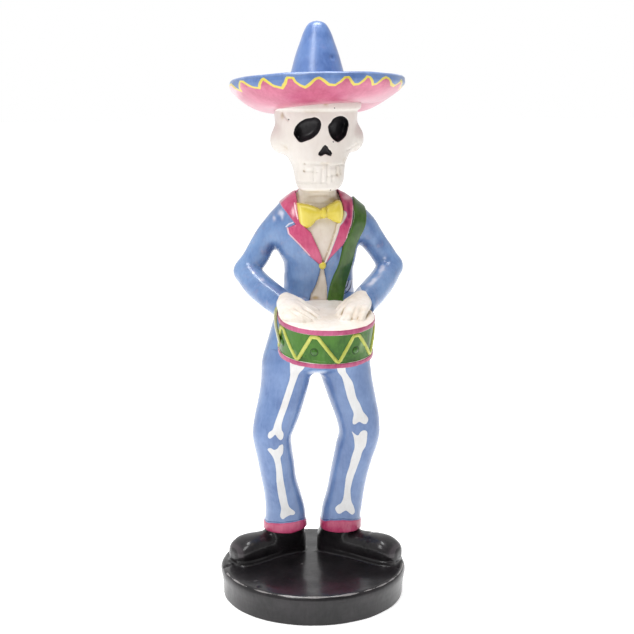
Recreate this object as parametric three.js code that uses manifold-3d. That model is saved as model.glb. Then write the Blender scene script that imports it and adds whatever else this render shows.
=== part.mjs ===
// A painted resin figurine: a slim skeleton drummer in a tailcoat and a wide
// upturned hat, cast in one piece with the round base that it stands on.
// Millimetres, +Z up. The origin is the centre of the base's underside, and the figure faces -Y.

import * as THREE from "three";
import { mergeVertices } from "three/addons/utils/BufferGeometryUtils.js";
import Module from "manifold-3d";

const wasm = await Module();
wasm.setup();

// Driving dimensions.
const BASE_RADIUS = 39.3; // the wall's widest place, just under the top edge
const BASE_HEIGHT = 12.75;
const BASE_TOP_INSET = 0.8; // the top edge's radius is this much less
const BASE_FOOT_INSET = 1.4; // and the foot's, which draws in, is this much less
const BASE_WAIST_INSET = 0.5; // and so is the wall's, at half its height
const BASE_SHOULDER = 1.6; // how far the wall's widest place is under the top
const BASE_FOOT_ROUND = 1.2;
const FIGURE_HEIGHT = 227.25; // from the base's top to the tip of the hat
const BRIM_RADIUS = 35.5;
const BRIM_RISE = 9.9; // how far the brim's underside climbs on its way out
const BRIM_EDGE = 3.4; // the rolled edge's own height
const BRIM_THICK = 2.6;
const CROWN_HEIGHT = 36.4; // from the brim's lowest place to the tip
const HAT_TILT = 5.5; // degrees, front edge up
const HAT_ROLL = 0.6; // degrees, the figure's left side up
const DRUM_RADIUS = 19.6;
const DRUM_DEPTH = 15.9;
const DRUM_TILT = 8.7; // degrees, front edge down
const DRUM_ROLL = -1.4; // degrees, the figure's right side down
const DRUM_HOOP = 0.55; // how far each hoop stands proud of the shell
const DRUM_HOOP_TALL = 1.8;
const COAT_THICK = 0.8; // the coat over the shirt, and the lapels over the coat
const STRAP_WIDTH = 6.2;
const STRAP_PROUD = 0.9; // the strap over the coat

// The pose and carving are laid out on a sculpt whose own height is this many units.
// Every length in the tables below is in its units, and every height is above the base.
const SCULPT_HEIGHT = 227.25;
const UNIT = FIGURE_HEIGHT / SCULPT_HEIGHT;
const MIDDLE = 2.5; // the figure stands a little to one side of the base's middle
const SUNK = 1.2; // how deep the feet run into the base, so that the two are one casting

// How finely each kind of form is faceted.
const ROUND_SIDES = 30;
const BODY_SIDES = 22;
const LIMB_SIDES = 12;
const ARM_SIDES = 10;
const FINGER_SIDES = 6;

const degrees = THREE.MathUtils.degToRad;

// A closed geometry as a solid.
function solidOf(geometry) {
  const bare = geometry.clone();
  bare.deleteAttribute("normal");
  bare.deleteAttribute("uv");
  const merged = mergeVertices(bare, 1e-4);
  return new wasm.Manifold(
    new wasm.Mesh({
      numProp: 3,
      vertProperties: merged.attributes.position.array,
      triVerts: new Uint32Array(merged.index.array),
    }),
  );
}

function signedVolume(points, faces) {
  const cross = new THREE.Vector3();
  return faces.reduce(
    (sum, [a, b, c]) => sum + points[a].dot(cross.crossVectors(points[b], points[c])),
    0,
  );
}

// Skins a run of rings that all have as many points, and closes each end with a fan.
function loft(rings) {
  const sides = rings[0].length;
  const points = rings.flat();
  const faces = [];
  for (let r = 0; r + 1 < rings.length; r++)
    for (let i = 0; i < sides; i++) {
      const next = (i + 1) % sides;
      const [low, high] = [r * sides, (r + 1) * sides];
      faces.push([low + i, low + next, high + next]);
      faces.push([low + i, high + next, high + i]);
    }
  const fan = (ring, start, forward) => {
    const middle = ring.reduce((sum, p) => sum.add(p), new THREE.Vector3()).divideScalar(sides);
    const hub = points.push(middle) - 1;
    for (let i = 0; i < sides; i++) {
      const pair = [start + i, start + ((i + 1) % sides)];
      faces.push([hub, ...(forward ? pair : pair.reverse())]);
    }
  };
  fan(rings[0], 0, false);
  fan(rings.at(-1), (rings.length - 1) * sides, true);
  if (signedVolume(points, faces) < 0) faces.forEach((face) => face.reverse());
  const geometry = new THREE.BufferGeometry().setFromPoints(points);
  geometry.setIndex(faces.flat());
  return solidOf(geometry);
}

// Values between the rows of a table, by a smooth curve through them. A row starts with its place.
function between(rows, place) {
  const last = rows.length - 1;
  const found = rows.findIndex((row, k) => k < last && place <= rows[k + 1][0]);
  const i = found < 0 ? last - 1 : found;
  const [before, from] = [rows[Math.max(i - 1, 0)], rows[i]];
  const [to, after] = [rows[i + 1], rows[Math.min(i + 2, last)]];
  const span = to[0] - from[0];
  const t = THREE.MathUtils.clamp((place - from[0]) / span, 0, 1);
  const [t2, t3] = [t ** 2, t ** 3];
  return from.slice(1).map((value, k) => {
    const next = to[k + 1];
    const slopeIn = ((next - before[k + 1]) / (to[0] - before[0])) * span;
    const slopeOut = ((after[k + 1] - value) / (after[0] - from[0])) * span;
    const ends = (2 * t3 - 3 * t2 + 1) * value + (3 * t2 - 2 * t3) * next;
    return ends + (t3 - 2 * t2 + t) * slopeIn + (t3 - t2) * slopeOut;
  });
}

// A point of the sculpt, at its real place over the base.
const at = (x, y, height) => new THREE.Vector3(x * UNIT, y * UNIT, BASE_HEIGHT + height * UNIT);

// The offset of a rounded-square outline's point at an angle: power 2 is an ellipse, more is squarer.
function outline(angle, halfWidth, halfDepth, power) {
  const bend = (value) => Math.sign(value) * Math.abs(value) ** (2 / power);
  return [halfWidth * bend(Math.cos(angle)), halfDepth * bend(Math.sin(angle))];
}

// Points round a closed ring, from the angle of each.
const ringOf = (sides, point) =>
  Array.from({ length: sides }, (_, i) => point((2 * Math.PI * i) / sides));

// A form given by level sections: rows of height, x, y, half width, half depth, squareness.
function column(rows, options) {
  const { levels, sides = BODY_SIDES, grow = 0 } = options;
  const { from = rows[0][0], to = rows.at(-1)[0] } = options;
  const rings = [];
  for (let k = 0; k <= levels; k++) {
    const height = from + ((to - from) * k) / levels;
    const [x, y, halfWidth, halfDepth, power] = between(rows, height);
    rings.push(
      ringOf(sides, (angle) => {
        const [dx, dy] = outline(angle, halfWidth + grow, halfDepth + grow, power);
        return at(x + dx, y + dy, height);
      }),
    );
  }
  return loft(rings);
}

const UP = new THREE.Vector3(0, 0, 1);
const DOME_FLAT = 0.3; // a dome's flat end, as a share of a step

// A form that follows a path: rows of x, y, height, half width, half thickness. The ends are domed.
// The width lies across the path and level, and the thickness across both.
function limb(rows, { sides, steps, dome }) {
  const curve = new THREE.CatmullRomCurve3(rows.map(([x, y, height]) => at(x, y, height)));
  const placed = rows.map((row, i) => [i / (rows.length - 1), ...row.slice(3)]);
  const ring = (t, shrink, along) => {
    const centre = curve.getPoint(t);
    const ahead = curve.getTangent(t);
    const across = new THREE.Vector3().crossVectors(ahead, UP).normalize();
    const over = new THREE.Vector3().crossVectors(across, ahead);
    const [halfWidth, halfThick] = between(placed, t);
    centre.addScaledVector(ahead, along * Math.min(halfWidth, halfThick) * UNIT);
    return ringOf(sides, (angle) =>
      centre
        .clone()
        .addScaledVector(across, Math.cos(angle) * halfWidth * shrink * UNIT)
        .addScaledVector(over, Math.sin(angle) * halfThick * shrink * UNIT),
    );
  };
  const cap = (t, way) =>
    Array.from({ length: dome }, (_, k) => {
      const angle = (Math.PI / 2) * ((k + 1) / (dome + DOME_FLAT));
      return ring(t, Math.cos(angle), way * Math.sin(angle));
    });
  const middle = Array.from({ length: steps + 1 }, (_, k) => ring(k / steps, 1, 0));
  return loft([...cap(0, -1).reverse(), ...middle, ...cap(1, 1)]);
}

// An egg: a place in the sculpt, three half sizes, and a lean in degrees about y.
function egg([x, y, height], [a, b, c], { lean = 0, across = 12, along = 8 } = {}) {
  const geometry = new THREE.SphereGeometry(1, across, along);
  geometry.scale(a * UNIT, b * UNIT, c * UNIT);
  geometry.rotateY(degrees(lean));
  const place = at(x, y, height);
  geometry.translate(place.x, place.y, place.z);
  return solidOf(geometry);
}

// How far the slabs run: beyond all that they cut, or to the trunk's middle.
const FRONT = -30;
const BACK = 40;
const HEART = 6;

// An outline of the sculpt, drawn out square to itself. Its second axis is turned up afterwards.
function drawnOut(points, length) {
  const shape = new THREE.Shape(points.map(([u, v]) => new THREE.Vector2(u * UNIT, v * UNIT)));
  const depth = length * UNIT;
  return new THREE.ExtrudeGeometry(shape, { depth, bevelEnabled: false }).rotateX(Math.PI / 2);
}

// A slab whose outline is as seen from the front: points of x and height, from y near to y far.
function frontSlab(points, near, far) {
  const geometry = drawnOut(points, far - near);
  return solidOf(geometry.translate(0, far * UNIT, BASE_HEIGHT));
}

// The same for an outline seen from the side, points of y and height: as wide as the base.
function sideSlab(points) {
  const wide = BASE_RADIUS / UNIT;
  const geometry = drawnOut(points, 2 * wide).rotateZ(Math.PI / 2);
  return solidOf(geometry.translate(-BASE_RADIUS, 0, BASE_HEIGHT));
}

// A turned form: radius and height pairs from the axis back to the axis, placed by a matrix.
function turned(profile, place = new THREE.Matrix4()) {
  const points = profile.map(([radius, height]) => new THREE.Vector2(radius, height));
  const geometry = new THREE.LatheGeometry(points, ROUND_SIDES);
  geometry.rotateX(Math.PI / 2); // the lathe's axis is Y
  return solidOf(geometry.applyMatrix4(place));
}

// A matrix that leans a turned form about x and then y, in degrees.
const leant = (aboutX, aboutY) =>
  new THREE.Matrix4().makeRotationFromEuler(new THREE.Euler(degrees(aboutX), degrees(aboutY), 0));

const join = (...solids) => solids.flat().reduce((all, solid) => all.add(solid));

// The base.

function base() {
  const foot = BASE_RADIUS - BASE_FOOT_INSET;
  return turned([
    [0, 0],
    [foot - BASE_FOOT_ROUND, 0],
    [foot, BASE_FOOT_ROUND],
    [BASE_RADIUS - BASE_WAIST_INSET, BASE_HEIGHT / 2],
    [BASE_RADIUS, BASE_HEIGHT - BASE_SHOULDER],
    [BASE_RADIUS - BASE_TOP_INSET, BASE_HEIGHT],
    [0, BASE_HEIGHT],
  ]);
}

// The shoes: toe and heel middles on the base, seen from above.

const SHOES = {
  right: { toe: [-28.6, 4.0], heel: [-7.6, 14.4] }, // on the viewer's left
  left: { toe: [30.6, -4.4], heel: [8.6, 12.8] },
};
const TOE = { radius: 7.1, height: 12.3 };
const HEEL = { radius: 5.4, height: 11 };
// The sole's edge stands proud all round, and its heel end is higher.
const SOLE = { height: 2.2, proud: 0.7, heelHeight: 3.2, arch: 0.3 };

// Sections across a shoe, from heel to toe: share of the way, half width, height of the upper.
const SHOE_ROWS = [
  [-0.19, 0.8, 8],
  [-0.13, 3.6, 9.6],
  [0, HEEL.radius, HEEL.height],
  [SOLE.arch, 5.3, 11.2],
  [0.6, 5.9, 10.9],
  [0.82, 6.7, 11.8],
  [1, TOE.radius, TOE.height],
  [1.14, 6.3, 11.1],
  [1.23, 4.4, 8.7],
  [1.275, 1.6, 6.6],
];
const UPPER_POWER = 2.5;

function shoe({ toe, heel }) {
  const along = new THREE.Vector3(toe[0] - heel[0], toe[1] - heel[1], 0);
  const length = along.length();
  along.normalize();
  const across = new THREE.Vector3(-along.y, along.x, 0);
  const section = ([share, halfWidth, height]) =>
    ringOf(LIMB_SIDES, (angle) => {
      const half = (height + SUNK) / 2;
      const [side, rise] = outline(angle, halfWidth, half, UPPER_POWER);
      return at(
        heel[0] + along.x * share * length + across.x * side,
        heel[1] + along.y * share * length + across.y * side,
        half - SUNK + rise,
      );
    });
  const plate = (rows, height) => {
    const corner = (share, side) => new THREE.Vector2(share * length, side).multiplyScalar(UNIT);
    const edge = (way) =>
      rows.map(([share, halfWidth]) => corner(share, way * (halfWidth + SOLE.proud)));
    const shape = new THREE.Shape([...edge(-1), ...edge(1).reverse()]);
    const depth = (height + SUNK) * UNIT;
    const geometry = new THREE.ExtrudeGeometry(shape, { depth, bevelEnabled: false });
    const stand = new THREE.Matrix4().makeBasis(along, across, UP);
    return solidOf(geometry.applyMatrix4(stand.setPosition(at(...heel, -SUNK))));
  };
  return join(
    loft(SHOE_ROWS.map(section)),
    plate(SHOE_ROWS.filter(([share]) => share >= SOLE.arch), SOLE.height),
    plate(SHOE_ROWS.filter(([share]) => share <= SOLE.arch), SOLE.heelHeight),
  );
}

// The legs: rows of height, x, y, half width, half depth, from the trouser cuff up.

const LEG_POWER = 2.1;
const LEG_SIDES = LIMB_SIDES + 2;
const LEGS = {
  right: [
    [9.6, -10.5, 10, 9.2, 8.8],
    [15, -10.6, 9.8, 9.2, 8.8],
    [20, -11.1, 9.3, 8.5, 8.3],
    [29.5, -12.3, 8, 7.9, 7.9],
    [41, -14.4, 6, 7.5, 7.8],
    [50, -16.2, 4.8, 7.8, 8.2],
    [56, -16.4, 4.4, 8.6, 8.8],
    [63.5, -13.9, 5, 9.7, 9.6],
    [75, -10.9, 6, 10.1, 10.4],
    [86, -9.2, 7, 10.6, 11.4],
    [93, -8, 7, 9, 11],
  ],
  left: [
    [9.6, 13.3, 8.6, 9.1, 8.8],
    [15, 13.4, 8.4, 9.1, 8.8],
    [20, 14, 8.2, 8.5, 8.4],
    [29.5, 15.6, 7.4, 7.9, 7.9],
    [41, 18.3, 5.8, 8, 7.9],
    [50, 20.8, 4.8, 8.6, 8.3],
    [55.5, 21.9, 4.5, 8.6, 8.8],
    [63.5, 20.5, 5, 9.1, 9.5],
    [75, 17.3, 6, 9.8, 10.4],
    [86, 14.6, 7, 10.8, 11.4],
    [93, 13, 7, 9, 11],
  ],
};
const CUFF = { top: 15, proud: 0.45 };

function leg(rows) {
  const shaped = rows.map((row) => [...row, LEG_POWER]);
  const trouser = column(shaped, { sides: LEG_SIDES, levels: 8 });
  const cuff = column(shaped, { sides: LEG_SIDES, levels: 2, grow: CUFF.proud, to: CUFF.top });
  return join(trouser, cuff);
}

// The trunk under the coat, from the seat of the trousers to the top of the shoulders.

const TRUNK = [
  [82.6, MIDDLE, 7.4, 16, 7, 2.2],
  [85.2, MIDDLE, 7.4, 21.4, 11, 2.2],
  [91, 3, 7.2, 21.4, 12, 2.2],
  [97, 3.2, 7, 20, 11.8, 2.2],
  [104.5, 3.4, 6.8, 17.7, 11, 2.2],
  [111.5, 3.5, 6.7, 15, 10, 2.2],
  [118.5, 3.6, 6.8, 13, 9, 2.2],
  [126, 3.1, 6.8, 14, 9.6, 2.25],
  [134, 2.7, 6.8, 16, 10.6, 2.3],
  [143, 3, 7, 17.4, 10.6, 2.3],
  [149, 3.3, 7.4, 17.6, 9.6, 2.3],
  [153, 3.3, 7.6, 14.6, 8.6, 2.2],
  [156.5, 2.9, 7.6, 10.6, 7.8, 2.1],
  [159, 2.7, 7.6, 8, 7.2, 2],
];
const COAT_FROM = 112; // the coat's front hem, behind the drum
const LAPELS_FROM = 126;

// Openings and facings of the coat as seen from the front: x and height.
const SHIRT_V = [[-3.4, 152.6], [1.6, 130.5], [4.2, 128.9], [6.8, 130.5], [11.6, 152.6], [3.8, 165]];
const SHIRT_GAP = [[3.9, 129], [0.8, 122], [-1.4, 113.5], [7.2, 113.5], [5.6, 122]];
const LAPELS = {
  right: [
    [-6.6, 160], [-13.2, 154.6], [-6.9, 146], [-10.4, 143.8],
    [3.6, 129.4], [1.8, 134], [-2.2, 143.4], [-3.2, 152],
  ],
  left: [
    [11.6, 160], [17.4, 156.4], [18, 150], [14.6, 142],
    [4.2, 129.4], [7, 137], [10.4, 146.5], [11, 152],
  ],
};

function trunk() {
  const open = join(frontSlab(SHIRT_V, FRONT, HEART), frontSlab(SHIRT_GAP, FRONT, HEART));
  const coat = column(TRUNK, { levels: 10, grow: COAT_THICK, from: COAT_FROM });
  const facing = column(TRUNK, { levels: 5, grow: 2 * COAT_THICK, from: LAPELS_FROM });
  return join(
    column(TRUNK, { sides: BODY_SIDES - 6, levels: 8 }),
    coat.subtract(open),
    Object.values(LAPELS).map((points) => facing.intersect(frontSlab(points, FRONT, HEART))),
  );
}

// The coat's skirt behind: it runs from the waist down over the seat, cut away in front.
const SKIRT = [
  [66, MIDDLE, 13.5, 12, 4, 2.3],
  [70, MIDDLE, 12, 20, 7.2, 2.4],
  [80, MIDDLE, 9.6, 22.9, 11.6, 2.3],
  [85, MIDDLE, 8, 23.2, 13, 2.3],
  [91, 3, 7.8, 22.4, 13.2, 2.3],
  [104.5, 3.4, 7.2, 18.9, 12, 2.3],
  [118, 3.6, 6.9, 13.6, 9.6, 2.2],
];
// What is cut away, as seen from the side: y and height.
const SKIRT_FRONT = [
  [-20, 60], [17, 60], [16, 67], [9.5, 73], [4, 80],
  [-0.4, 91], [-3, 104], [-6, 115], [-20, 119],
];
// The split between the two tails as seen from behind: half width and height.
const VENT = [[0.3, 92], [0.6, 86], [3.5, 80], [7, 71], [10, 64], [14, 58]];

function skirt() {
  const cloth = column(SKIRT, { sides: BODY_SIDES - 4, levels: 6 });
  const side = (way) => VENT.map(([half, height]) => [MIDDLE + way * half, height]);
  const vent = frontSlab([...side(-1), ...side(1).reverse()], FRONT, BACK);
  return cloth.subtract(sideSlab(SKIRT_FRONT)).subtract(vent);
}

// The collar stands round the neck, highest behind.
const COLLAR = [
  [150, 2.8, 7.6, 13.6, 9.4, 2.2],
  [154, 2.8, 7.8, 11.8, 9, 2.1],
  [157.5, 2.8, 8, 9.9, 8.6, 2],
  [159.6, 2.8, 8.2, 9.2, 8.2, 2],
];
const COLLAR_FRONT = [[-20, 170], [-20, 148], [-3, 148], [2, 156], [5, 170]];

const collar = () =>
  column(COLLAR, { sides: LIMB_SIDES + 4, levels: 3 }).subtract(sideSlab(COLLAR_FRONT));

// The arms, bent at the elbow: rows of x, y, height, radius, from the shoulder and from the elbow.

const ARMS = {
  right: {
    upper: [
      [-9, 8, 148.5, 6.2], [-14.2, 8.3, 144, 6], [-19.2, 8.8, 138.4, 5],
      [-23.4, 9.4, 131.8, 4.8], [-27.3, 9.6, 125.6, 5.1],
    ],
    fore: [
      [-27.1, 9.4, 125.3, 5.2], [-23.2, 2.8, 121, 5.7],
      [-18.7, -3.8, 117.4, 5.8], [-14.9, -9, 114.9, 5.4],
    ],
  },
  left: {
    upper: [
      [15, 8, 148.5, 6.2], [20.6, 8.3, 143.8, 6], [26, 8.8, 138, 5],
      [30.8, 9.4, 132, 4.8], [35.3, 9.6, 126.4, 5.1],
    ],
    fore: [
      [35.1, 9.4, 126, 5.2], [30.7, 2.8, 121.6, 5.7],
      [25.5, -3.8, 117.9, 5.8], [21.2, -9, 115.4, 5.4],
    ],
  },
};

function arm({ upper, fore }) {
  const round = (rows) => rows.map((row) => [...row, row.at(-1)]);
  return join(
    limb(round(upper), { sides: ARM_SIDES, steps: 5, dome: 1 }),
    limb(round(fore), { sides: ARM_SIDES, steps: 3, dome: 2 }),
  );
}

// The drum hangs in front of the belly, and the hands lie on its head.

const DRUM_BACK = [2.1, -2.9, 115.2]; // the back edge of its head
const drumMatrix = leant(DRUM_TILT, DRUM_ROLL);
const drumReach = new THREE.Vector3(0, DRUM_RADIUS, 0).applyMatrix4(drumMatrix);
drumMatrix.setPosition(at(...DRUM_BACK).sub(drumReach));

function drum() {
  const shell = DRUM_RADIUS - DRUM_HOOP;
  const slope = DRUM_HOOP_TALL + DRUM_HOOP;
  const profile = [
    [0, -DRUM_DEPTH],
    [DRUM_RADIUS, -DRUM_DEPTH],
    [DRUM_RADIUS, DRUM_HOOP_TALL - DRUM_DEPTH],
    [shell, slope - DRUM_DEPTH],
    [shell, -slope],
    [DRUM_RADIUS, -DRUM_HOOP_TALL],
    [DRUM_RADIUS, 0],
    [0, 0],
  ];
  return turned(profile, drumMatrix);
}

// The sculpt's height of the drum's head under a place, plus a lift.
function onHead(x, y, lift) {
  const normal = UP.clone().transformDirection(drumMatrix);
  const centre = new THREE.Vector3().setFromMatrixPosition(drumMatrix);
  const away = new THREE.Vector3(x * UNIT, y * UNIT, 0).sub(centre);
  const z = centre.z - (normal.x * away.x + normal.y * away.y) / normal.z;
  return (z - BASE_HEIGHT) / UNIT + lift;
}

// A hand: rows of x, y and lift above the drum's head. The palm's rows add a half width and a half
// thickness, and the fingers and the thumb bend down to the head.
const HANDS = {
  right: {
    palm: [[-14.2, -9.4, 3.6, 4.6, 4], [-11.4, -14, 3.2, 5.4, 3.6], [-8, -18.4, 2, 5.6, 2.7]],
    fingers: [
      [[-8.6, -15.4, 2.4], [-3.6, -16.8, 1.9], [1.2, -18.4, 0.7]],
      [[-8.2, -18.4, 2.3], [-3.8, -20.6, 1.9], [0.8, -22.8, 0.7]],
      [[-8.4, -21, 2.1], [-4.6, -24, 1.8], [-0.8, -27.2, 0.6]],
      [[-9.4, -23, 1.8], [-6.8, -26.6, 1.6], [-4.2, -29.8, 0.6]],
    ],
    thumb: [[-10.6, -13.2, 2.6], [-6.4, -12.4, 1.9], [-2.8, -12.6, 0.9]],
  },
  left: {
    palm: [[20.2, -9.4, 3.8, 4.6, 4], [17.8, -13.6, 3.4, 5.4, 3.6], [15, -17.6, 2.4, 5.4, 2.7]],
    fingers: [
      [[13, -15.6, 2.7], [9.8, -19.4, 2.1], [7.2, -23.2, 0.7]],
      [[14.6, -17.2, 2.6], [11.6, -22.8, 2.1], [8.8, -28.4, 0.6]],
      [[16.6, -18.6, 2.5], [14.6, -24.4, 2], [12.8, -30, 0.6]],
      [[18.8, -18.6, 2.3], [17.6, -23.8, 1.9], [16.4, -29, 0.6]],
    ],
    thumb: [[15.2, -12.6, 2.8], [11.2, -14, 2], [7.8, -16.4, 0.9]],
  },
};
const FINGER = { radius: 1.75, narrowing: 0.15, thinning: 0.2 };

function hand({ palm, fingers, thumb }) {
  const place = ([x, y, lift, ...rest]) => [x, y, onHead(x, y, lift), ...rest];
  const finger = (rows) => {
    const placed = rows.map((row, i) => [
      ...place(row),
      FINGER.radius - FINGER.narrowing * i,
      FINGER.radius - FINGER.thinning * i,
    ]);
    return limb(placed, { sides: FINGER_SIDES, steps: 2, dome: 1 });
  };
  const broad = limb(palm.map(place), { sides: ARM_SIDES, steps: 2, dome: 1 });
  return join(broad, [...fingers, thumb].map(finger));
}

// The strap follows the coat: rows of height, angle round the trunk in degrees from the figure's left
// (90 is behind, -90 in front), lift, and share of its width.
const STRAP = [
  [111, 212, 1, 0.8],
  [118, 190, 0.6, 0.9],
  [126, 160, 0.4, 1],
  [134, 125, 0.4, 1],
  [142, 85, 0.4, 1],
  [149, 55, 0.6, 1],
  [153.6, 18, 1, 1],
  [153, -14, 1, 1],
  [149, -34, 0.6, 1],
  [140, -46, 0.5, 1],
  [131, -57, 0.4, 1],
  [122, -68, 0.4, 1.05],
  [113, -74, 0.4, 1.1],
];
const STRAP_SUNK = 3; // how far its hidden side runs into the trunk
const STRAP_STEPS = 17;
const SHOULDER = { height: 149, turn: 5 }; // above it the strap's face turns up, over this height
const NEARBY = 0.1; // of a row, to find the strap's direction

function strap() {
  const rows = STRAP.map((row, i) => [i, ...row]);
  const last = rows.length - 1;
  const surface = (place) => {
    const [height, angle, lift, share] = between(rows, place);
    const [x, y, halfWidth, halfDepth, power] = between(TRUNK, height);
    const grow = COAT_THICK + lift;
    const [dx, dy] = outline(degrees(angle), halfWidth + grow, halfDepth + grow, power);
    const outward = new THREE.Vector3(dx / halfWidth ** 2, dy / halfDepth ** 2, 0).normalize();
    outward.z = Math.max(0, height - SHOULDER.height) / SHOULDER.turn;
    return { centre: at(x + dx, y + dy, height), outward: outward.normalize(), share };
  };
  const rings = Array.from({ length: STRAP_STEPS + 1 }, (_, k) => {
    const place = (k / STRAP_STEPS) * last;
    const { centre, outward, share } = surface(place);
    const next = surface(Math.min(place + NEARBY, last)).centre;
    const ahead = next.sub(surface(Math.max(place - NEARBY, 0)).centre);
    const across = new THREE.Vector3().crossVectors(ahead, outward).normalize();
    const [side, round] = [(STRAP_WIDTH / 2) * share, STRAP_PROUD / 2];
    const section = [
      [-side, -STRAP_SUNK],
      [side, -STRAP_SUNK],
      [side, STRAP_PROUD - round],
      [side - round, STRAP_PROUD],
      [round - side, STRAP_PROUD],
      [-side, STRAP_PROUD - round],
    ];
    return section.map(([aside, over]) =>
      centre.clone().addScaledVector(across, aside).addScaledVector(outward, over),
    );
  });
  return loft(rings);
}

// The bow tie: its knot, and each wing's outline as offsets from the knot's middle.

const BOW = {
  middle: [3.4, -4.6, 151.2],
  knot: [2.3, 1.9, 2.5],
  knotProud: 0.4,
  proud: 0.6,
  sunk: 5,
  right: [[-1.6, 2.1], [-7.1, 2.9], [-9.8, 3.6], [-9.1, -2.2], [-7.1, -6.2], [-1.6, -1.9]],
  left: [[1.6, 2.1], [6.3, 4], [8.8, 5], [8.2, -1.7], [6.3, -4.9], [1.6, -1.9]],
};
const BUTTON = { place: [3.8, -4.3, 128.6], half: [1.9, 1.3, 2.1] };

function bowTie() {
  const [x, y, height] = BOW.middle;
  const wing = (offsets) => {
    const points = offsets.map(([dx, dh]) => [x + dx, height + dh]);
    return frontSlab(points, y - BOW.proud, y + BOW.sunk);
  };
  return join(wing(BOW.right), wing(BOW.left), egg([x, y - BOW.knotProud, height], BOW.knot));
}

const button = () => egg(BUTTON.place, BUTTON.half, { along: 6 });

// The head: rows of height, x, y, half width, half depth, squareness, from the chin to the hat.

const SKULL = [
  [159.4, 2, -1.6, 5.6, 6, 2.3],
  [161, 2.2, -1.8, 8.2, 8.2, 2.4],
  [163.8, 2.5, -2, 9.6, 9.4, 2.5],
  [168, 2.4, -1.6, 10.2, 10.6, 2.6],
  [171.5, 2.1, -0.6, 11.1, 11.8, 2.6],
  [175, 1.9, 1.8, 13.2, 14, 2.5],
  [179.5, 1.9, 3.6, 15.2, 15.7, 2.45],
  [185.5, 1.9, 4, 16.3, 16.2, 2.45],
  [191.5, 1.95, 4, 16.8, 16.6, 2.45],
  [197, 2, 4, 17.2, 16.8, 2.4],
];
const CHEEKS = [
  { place: [-11.8, 2.6, 180.2], half: [4.9, 7.6, 6.6], lean: 14 },
  { place: [16.4, 2.6, 180.6], half: [4.9, 7.6, 6.6], lean: -14 },
];
const SOCKETS = [
  { place: [-3.4, -12.8, 184.4], half: [4.6, 5.2, 5.5], lean: 34 },
  { place: [9.6, -12.8, 184.9], half: [4.6, 5.2, 5.3], lean: -6 },
];
const NOSE = [
  [3.3, 178.8], [1.8, 176.6], [0.6, 175], [1.9, 174.3],
  [3.3, 175.7], [4.8, 174.3], [6, 175], [4.8, 176.6],
];
const NOSE_FLOOR = -10.2;
const NECK = [
  [140, 2.8, 6.6, 9.2, 8.2, 2],
  [152, 2.9, 6.2, 9.2, 8, 2],
  [156.5, 2.8, 5.6, 8.9, 7.6, 2],
  [160, 2.6, 5, 8.5, 7.6, 2],
  [168, 2.4, 4.6, 8.4, 7.6, 2],
];

function head() {
  const eggOf = ({ place, half, lean }, facets) => egg(place, half, { lean, ...facets });
  const bone = join(
    column(SKULL, { levels: 10 }),
    CHEEKS.map((cheek) => eggOf(cheek, { across: 10, along: 7 })),
  );
  const sockets = SOCKETS.map((socket) => eggOf(socket, { across: 12, along: 6 }));
  const cuts = join(sockets, frontSlab(NOSE, FRONT, NOSE_FLOOR), teeth());
  return join(bone.subtract(cuts), column(NECK, { sides: LIMB_SIDES, levels: 5 }));
}

// The teeth: thin grooves between them, each cut to an even depth behind the face.

const TEETH = {
  middle: 2.8, top: 171, biteLine: 168.2, bottom: 163.4,
  pitch: 3.2, groove: 0.4, depth: 0.5, count: 4,
};

// The face's y at a place.
function face(x, height) {
  const [middle, y, halfWidth, halfDepth, power] = between(SKULL, height);
  const share = Math.abs((x - middle) / halfWidth);
  return y - halfDepth * (1 - share ** power) ** (1 / power);
}

function teeth() {
  const { middle, top, biteLine, bottom, pitch, groove, depth, count } = TEETH;
  const half = groove / 2;
  const cut = (left, right, low, high) => {
    const corners = [[left, low], [right, low], [right, high], [left, high]];
    return frontSlab(corners, FRONT, depth + Math.max(...corners.map((corner) => face(...corner))));
  };
  const edgeOf = (i) => middle + (i - count / 2) * pitch;
  const upTo = (number) => [...Array(number).keys()];
  const columns = upTo(count + 1).map((i) => cut(edgeOf(i) - half, edgeOf(i) + half, bottom, top));
  const rows = [top, biteLine].flatMap((height) =>
    upTo(count).map((i) => cut(edgeOf(i) - half, edgeOf(i + 1) + half, height - half, height + half)),
  );
  return [...rows, ...columns];
}

// The hat, turned on its own axis and set on the head.

const HAT = { place: [2.4, 4, 190.9], headRadius: 17 };
const BRIM_POWER = 2.1; // how late the brim turns up on its way out
const BRIM_STEPS = [0.36, 0.66, 0.88]; // shares of the way out
const BRIM_OVER = { inward: 1.1, thicker: 1.6 }; // the upper side, which thickens on its way out
// The rolled edge: how far inside the brim's radius, and share of the edge's height.
const ROLL = [[0, 0.25], [0, 0.8], [0.7, 1], [1.9, 0.97]];
// The crown's profile: radius, and share of the crown's height.
const CROWN = [
  [15.6, 0.19], [13.4, 0.25], [11.9, 0.34], [10.3, 0.49], [8.8, 0.63],
  [7.1, 0.76], [5.4, 0.875], [3, 0.97], [0, 1],
];

function hat() {
  const { place, headRadius } = HAT;
  const width = BRIM_RADIUS - headRadius;
  const climb = (t) => BRIM_RISE * t ** BRIM_POWER;
  const under = BRIM_STEPS.map((t) => [headRadius + width * t, climb(t)]);
  const edge = ROLL.map(([inward, share]) => [BRIM_RADIUS - inward, BRIM_RISE + BRIM_EDGE * share]);
  const over = BRIM_STEPS.slice(1)
    .reverse()
    .map((t) => [
      headRadius + width * t - BRIM_OVER.inward,
      climb(t) + BRIM_THICK + BRIM_OVER.thicker * t,
    ]);
  const crown = CROWN.map(([radius, share]) => [radius, share * CROWN_HEIGHT]);
  const profile = [[0, 0], [headRadius, 0], ...under, ...edge, ...over, ...crown];
  return turned(profile, leant(-HAT_TILT, -HAT_ROLL).setPosition(at(...place)));
}

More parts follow.
